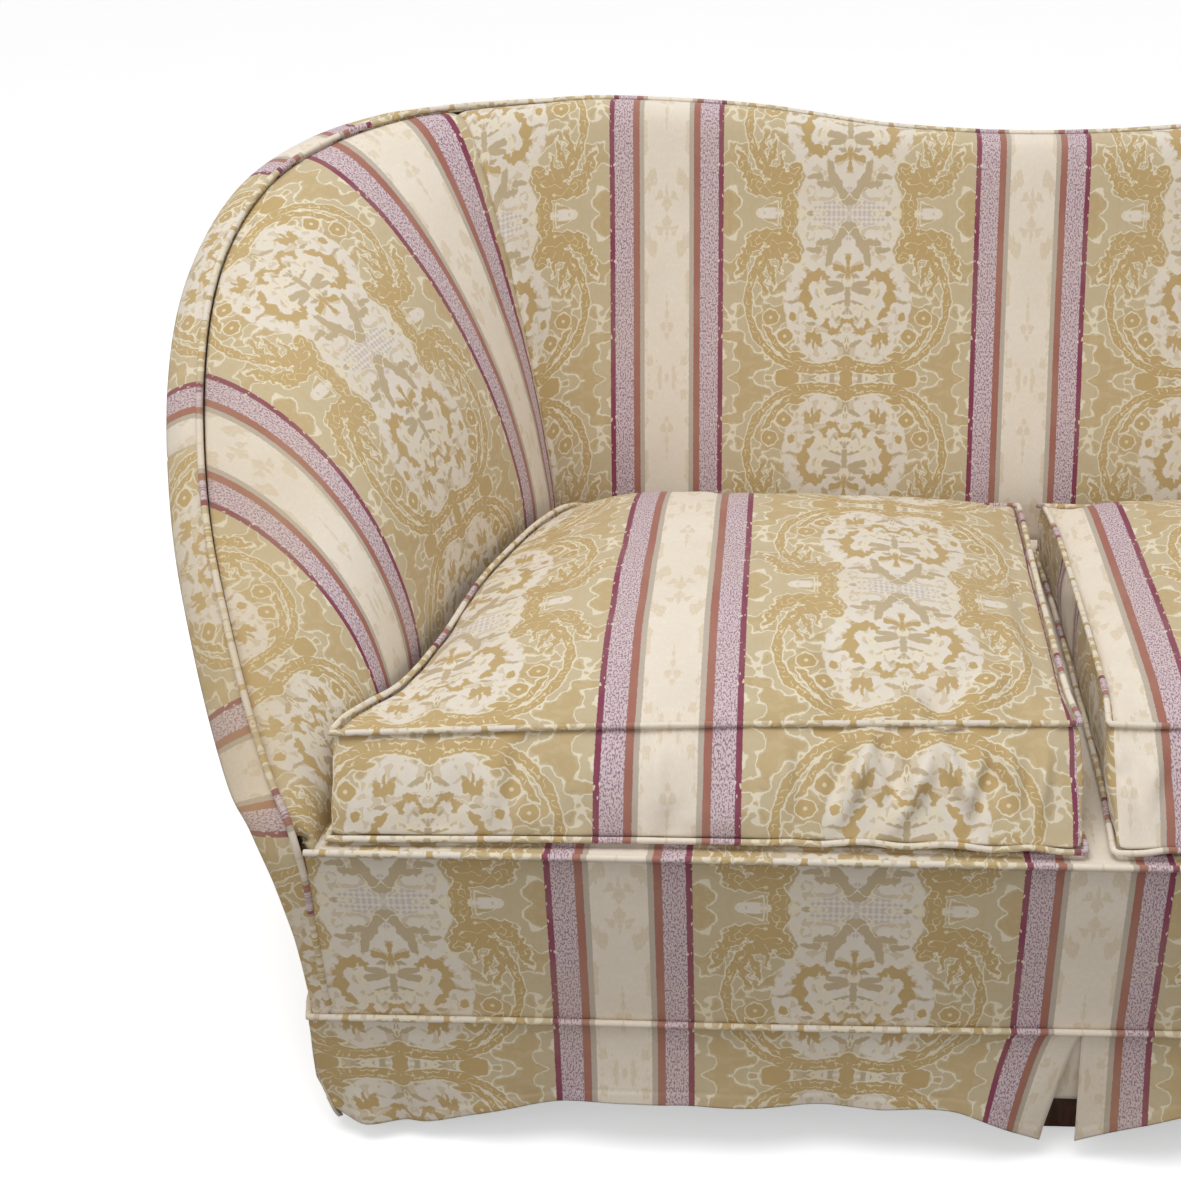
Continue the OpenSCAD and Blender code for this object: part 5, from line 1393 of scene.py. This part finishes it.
def wear(obj, side, seed):
    """Folds and uneven filling, pushed along the normals; x is mirrored for the right cushion's own folds."""
    co, n = points_of(obj), np.array([v.normal for v in obj.data.vertices])
    x, gain = (co[:, 0], 1.8) if side == "left" else (-co[:, 0] - 0.03, 1.0)
    z = co[:, 2]
    front = ease((z - LOWER_SEAM) / 0.012) * ease((LOWER_SEAM + BOXING_H - z) / 0.012)
    front = front * ease((-n[:, 1] - 0.35) / 0.4)
    up = ease((n[:, 2] - 0.3) / 0.4)
    lump = np.array([noise.noise(Vector(c) / 0.09 + Vector((seed, 0, 0))) for c in co])
    fine = np.array([noise.noise(Vector(c) / 0.035 + Vector((0, seed, 0))) for c in co])
    push = gain * (2.0 * front * fold_heights(x, z, BOXING_FOLDS) + up * fold_heights(x, co[:, 1], TOP_FOLDS))
    push += (lump * LUMP - SETTLED) * up + (fine * FINE_LUMP) * np.maximum(front, up)
    move_points(obj, co + n * push[:, None])


SEAM_ROWS, SEAM_COLS = 69, 65


def seam_path(high):
    """The line of a cushion's upper or lower welt, just outside its seam."""
    p, q = (seam_loop(SEAM_ROWS, SEAM_COLS) / (SEAM_ROWS, SEAM_COLS)).T
    edge = cushion_top(p, q) if high else cushion_low(p, q)
    out = unit(spots((q == 1) * 1.0 - (q == 0), (p == 1) * 1.0 - (p == 0), 0.0))
    out = out + [0, 0, 1.0 if high else -0.2]
    # Where people sit down at the front, the lower welt has lost its straight line
    slack = (p == 0) * (not high) * ease((edge[:, 0] + 0.33) / 0.06) * ease((-0.03 - edge[:, 0]) / 0.04)
    edge[:, 2] += WELT_SLACK * slack * (1 + np.sin(edge[:, 0] * 75))
    return edge + (WELT_R * CUSHION_WELT_SHARE + FIT) * unit(out)


def seam_places(path, shift):
    """Along the front a cushion's welts match its stripes, and the strip then runs on round it."""
    step = np.diff(path, axis=0)
    step = np.where(np.arange(len(step)) < SEAM_COLS, step[:, 0], np.linalg.norm(step, axis=1))
    return path[0, 0] + shift + np.concatenate([[0], np.cumsum(step)])


def settle(obj, inner=np.inf):
    """Keep a cushion's points above the deck, and short of the line x = inner."""
    co = points_of(obj)
    co[:, 2] = np.maximum(co[:, 2], CUSHION_FLOOR + 0.0002)
    co[:, 0] = np.minimum(co[:, 0], inner)
    move_points(obj, co)


def cushion(side, sign, shift, seed):
    """A filled cushion. The right one is made as a left one and mirrored, and so is its shift on the cloth."""
    made = cushion_mesh("cushion_" + side, sign * shift, SLACK_CROWN)
    swell(made, PRESSURE, TRAVEL)
    settle(made, -MIDDLE_GAP / 2 - 0.004)
    subdivide(made, 2)
    if sign < 0:
        made.data.transform(Matrix.Scale(-1, 4, (1, 0, 0)))
        made.data.flip_normals()
    wear(made, side, seed)
    settle(made)
    made.vertex_groups.clear()
    return made


# Side, its sign, how far the cushion's cloth is shifted against x, and the seed of its lumps
CUSHIONS = (("left", 1, 0.42, 3.0), ("right", -1, -0.03, 8.0))
FILLED = {row[0]: cushion(*row) for row in CUSHIONS}
for side, sign, shift, _ in CUSHIONS:
    body, obj = "cushion_" + side, FILLED[side]
    clothe(obj, "cushion_cover_" + side, "cushion_filling_" + side, body=body)
    parts, uvs = [], []
    for k, high in enumerate((True, False)):
        path = seam_path(high) * [sign, 1, 1]
        part = welt("part", path, True, 5 + k + 3 * (sign < 0), seam_places(path, shift), CUSHION_WELT_SHARE)
        uvs += [tuple(corner.uv) for corner in part.data.uv_layers[CLOTH_MAP].data]
        parts.append(take(part))
    welts = gather("cushion_piping_" + side, parts, uvs)
    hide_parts("cushion_welts_" + side)
    dress(welts, "welt_cloth", body)
print("cushions:", len(FILLED["left"].data.polygons), "faces each")

# %% [markdown]
# At the rear each cushion closes with a zip: two tapes side by side, a row of small teeth, and a slider. The
# teeth repeat along a line, so Geometry Nodes place one tooth at each of many points.

# %% Zips with instanced teeth
def row_tree(name, pitch, size, turned=False):
    """A small block at even steps along a line, which runs along it when turned."""
    tree, given, out = geometry_group(name, [("Pitch", "Float", pitch), ("Size", "Vector", size)])
    line = add_node(tree, "GeometryNodeMeshToCurve", {0: given["Geometry"]})
    points = add_node(tree, "GeometryNodeCurveToPoints", {"Curve": line, "Length": given["Pitch"]}, "Points",
                      mode="LENGTH")
    block = add_node(tree, "GeometryNodeMeshCube", {"Size": given["Size"]}, "Mesh")
    fed = {"Points": points, "Instance": block}
    if turned:
        run = Thread(tree, points.socket.node.outputs["Tangent"])
        fed["Rotation"] = add_node(tree, "FunctionNodeAlignEulerToVector", {"Vector": run}, axis="X")
    return finish_tree(tree, given, out, add_node(tree, "GeometryNodeInstanceOnPoints", fed))


TEETH = row_tree("zip teeth", 0.0032, (0.0016, 0.0012, 0.0034))


def box_mesh(lo, hi, bevel):
    """A box with rounded edges, as points and faces."""
    bm = bmesh.new()
    bmesh.ops.create_cube(bm, size=1.0)
    for v in bm.verts:
        v.co = Vector([lo[i] + (hi[i] - lo[i]) * (v.co[i] + 0.5) for i in range(3)])
    bmesh.ops.bevel(bm, geom=bm.edges[:], offset=bevel, segments=2, profile=0.6, affect="EDGES")
    bm.verts.index_update()
    points = [tuple(v.co) for v in bm.verts]
    faces = [[v.index for v in f.verts] for f in bm.faces]
    bm.free()
    return points, faces


def rear_of(obj, x, z):
    """The y of a cushion's rear face, found by looking at it from behind."""
    hit, spot, _, _ = obj.ray_cast((x, 1.0, z), (0.0, -1.0, 0.0))
    return spot.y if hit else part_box(obj)[1][1]


TAPE_T, TOOTH_GAP, TAPE_EDGE = 0.0012, 0.0022, 0.006
# A zip stops further from the rounded corner beside the arm than from the middle of the sofa
ARM_STOP, MIDDLE_STOP = 0.06, 0.02
for side, sign, _, _ in CUSHIONS:
    body, filled = "cushion_" + side, FILLED[side]
    lo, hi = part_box("cushion_zip_" + side)
    bottom, top = lo[2] + TAPE_EDGE, hi[2] - REAR_DROP - TAPE_EDGE
    mid = (bottom + top) / 2
    stops = (ARM_STOP, MIDDLE_STOP)[::sign]
    x0, x1 = lo[0] + stops[0], hi[0] - stops[1]
    strips = []
    for low_z, high_z in ((bottom, mid - TOOTH_GAP), (mid + TOOTH_GAP, top)):
        gx, gz = np.meshgrid(np.linspace(x0, x1, 150), np.linspace(low_z, high_z, 9))
        rear = np.array([rear_of(filled, x, z) for x, z in zip(gx.ravel(), gz.ravel())]).reshape(gx.shape)
        wavy = soft(spots(gx, 0.0, gz), 0.03, 60 + sign) * 0.0003
        outer, inner = spots(gx, rear + TAPE_T + wavy, gz), spots(gx, rear + 0.0001, gz)
        strips.append(take(slab("strip", outer[:, ::-1], inner[:, ::-1], spots(gx, gz)[:, ::-1])))
    tape = gather("zip_tape_" + side, strips)
    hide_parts("cushion_zip_" + side)
    dress(tape, "zip_tape", body)
    row = np.linspace(x0 + 0.004, x1 - 0.004, 60)
    heights = np.array([rear_of(filled, x, mid) + TAPE_T + 0.0002 for x in row])
    teeth = grow("zip_teeth_" + side, line_of(spots(row, heights, mid)), TEETH,
                 {"Material": MATERIALS["zip_metal"]})
    dress(teeth, "zip_metal", body)
    # The slider is closed at the arm's end, with its pull hanging down
    closed = 4 if sign > 0 else -5
    x, y = row[closed], heights[closed] + 0.0006
    slider = gather("zip_slider_" + side, [
        box_mesh((x - 0.006, y - 0.0002, mid - 0.0045), (x + 0.006, y + 0.0022, mid + 0.0045), 0.0008),
        box_mesh((x - 0.0022, y + 0.0016, mid - 0.020), (x + 0.0022, y + 0.0026, mid - 0.002), 0.0004)])
    dress(slider, "zip_metal", body)
print("zip teeth:", len(teeth.data.polygons) // 6)

# %% [markdown]
# The black dust cloth is stapled under the rails. A ring of staples follows the base outline, placed by the
# same kind of tree as the zips' teeth, and turned to run along the edge.

# %% Staples under the dust cloth
STAPLE_IN = 0.020
dust_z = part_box("dust_cover")[0][2]
outline = along(BASE, np.linspace(0, LAST, 129))
inside = outline - outward(np.gradient(outline, axis=0)) * STAPLE_IN
STAPLES = row_tree("staples", 0.032, (0.010, 0.0009, 0.0007), turned=True)
ring_line = line_of(spots(*inside.T, dust_z - 0.0002), closed=True)
staples = grow("dust_staples", ring_line, STAPLES, {"Material": MATERIALS["bolt_steel"]})
dress(staples, "bolt_steel")
print("staples:", len(staples.data.polygons) // 6)

# %% [markdown]
# The nodes whose solids are already right stay as they are: the frame, legs, bolts, glides, webbing and dust
# cloth. Each gets its finish by the material slot that the record gives it.

# %% Finishes for the carried-over nodes
for row in frame["record"]["subparts"]:
    obj, slot = frame["nodes"][row["node"]], row["material_slot"]
    obj.data.materials.clear()
    obj.data.materials.append(MATERIALS.get(slot, MATERIALS["felt"]))

# %% [markdown]
# The studio is a wide pale floor and an even white surround, so that cloth renders about as its colours are
# written. One large soft lamp overhead makes the seats bright and leaves the fronts in gentle shade.

# %% Floor, surround and lamps
SURROUND, FLOOR_GLOW = 0.50, 0.45
floor_mesh = bpy.data.meshes.new("floor")
floor_mesh.from_pydata([(-30, -30, 0), (30, -30, 0), (30, 30, 0), (-30, 30, 0)], [], [(0, 1, 2, 3)])
floor = put("floor", floor_mesh)
paper, tree, shader, at = new_material("floor_paper", 0.9)
white = blend(tree, cloud(at, 2.0, 2.0), (250, 250, 250), (254, 254, 254))
# The camera sees white paper, while the cloth is lit by a floor as dull as the workshop's own
seen = add_node(tree, "ShaderNodeLightPath", {}, "Is Camera Ray")
feed(tree, shader.inputs["Base Color"], blend(tree, seen, (150, 145, 140), white))
shader.inputs["Emission Color"].default_value = (1.0, 1.0, 1.0, 1.0)
feed(tree, shader.inputs["Emission Strength"], seen * FLOOR_GLOW)
floor_mesh.materials.append(paper)

world = bpy.data.worlds.new("studio")
bpy.context.scene.world = world
world.use_nodes = True
tree = world.node_tree
back_light = next(n for n in tree.nodes if n.type == "BACKGROUND")
back_light.inputs["Color"].default_value = (1.0, 1.0, 1.0, 1.0)
seen = add_node(tree, "ShaderNodeLightPath", {}, "Is Camera Ray")
rays = seen.socket.node.outputs
for kind in ("Is Glossy Ray", "Is Transmission Ray"):
    seen = most(seen, Thread(tree, rays[kind]))
feed(tree, back_light.inputs["Strength"], seen * (1.0 - SURROUND) + SURROUND)


def lamp(name, at, aim, size, power):
    data = bpy.data.lights.new(name, "AREA")
    data.shape, data.size, data.energy = "DISK", size, power
    obj = put(name, data)
    obj.location = at
    obj.rotation_euler = (Vector(aim) - Vector(at)).to_track_quat("-Z", "Y").to_euler()


lamp("key", (-0.7, -0.7, 3.5), (0, -0.1, 0.4), 2.2, 52)
lamp("fill", (-2.2, -2.6, 1.9), (0, 0, 0.4), 1.8, 9)

bpy.context.scene.view_settings.view_transform = "Standard"
print("surround", SURROUND, "with two lamps")
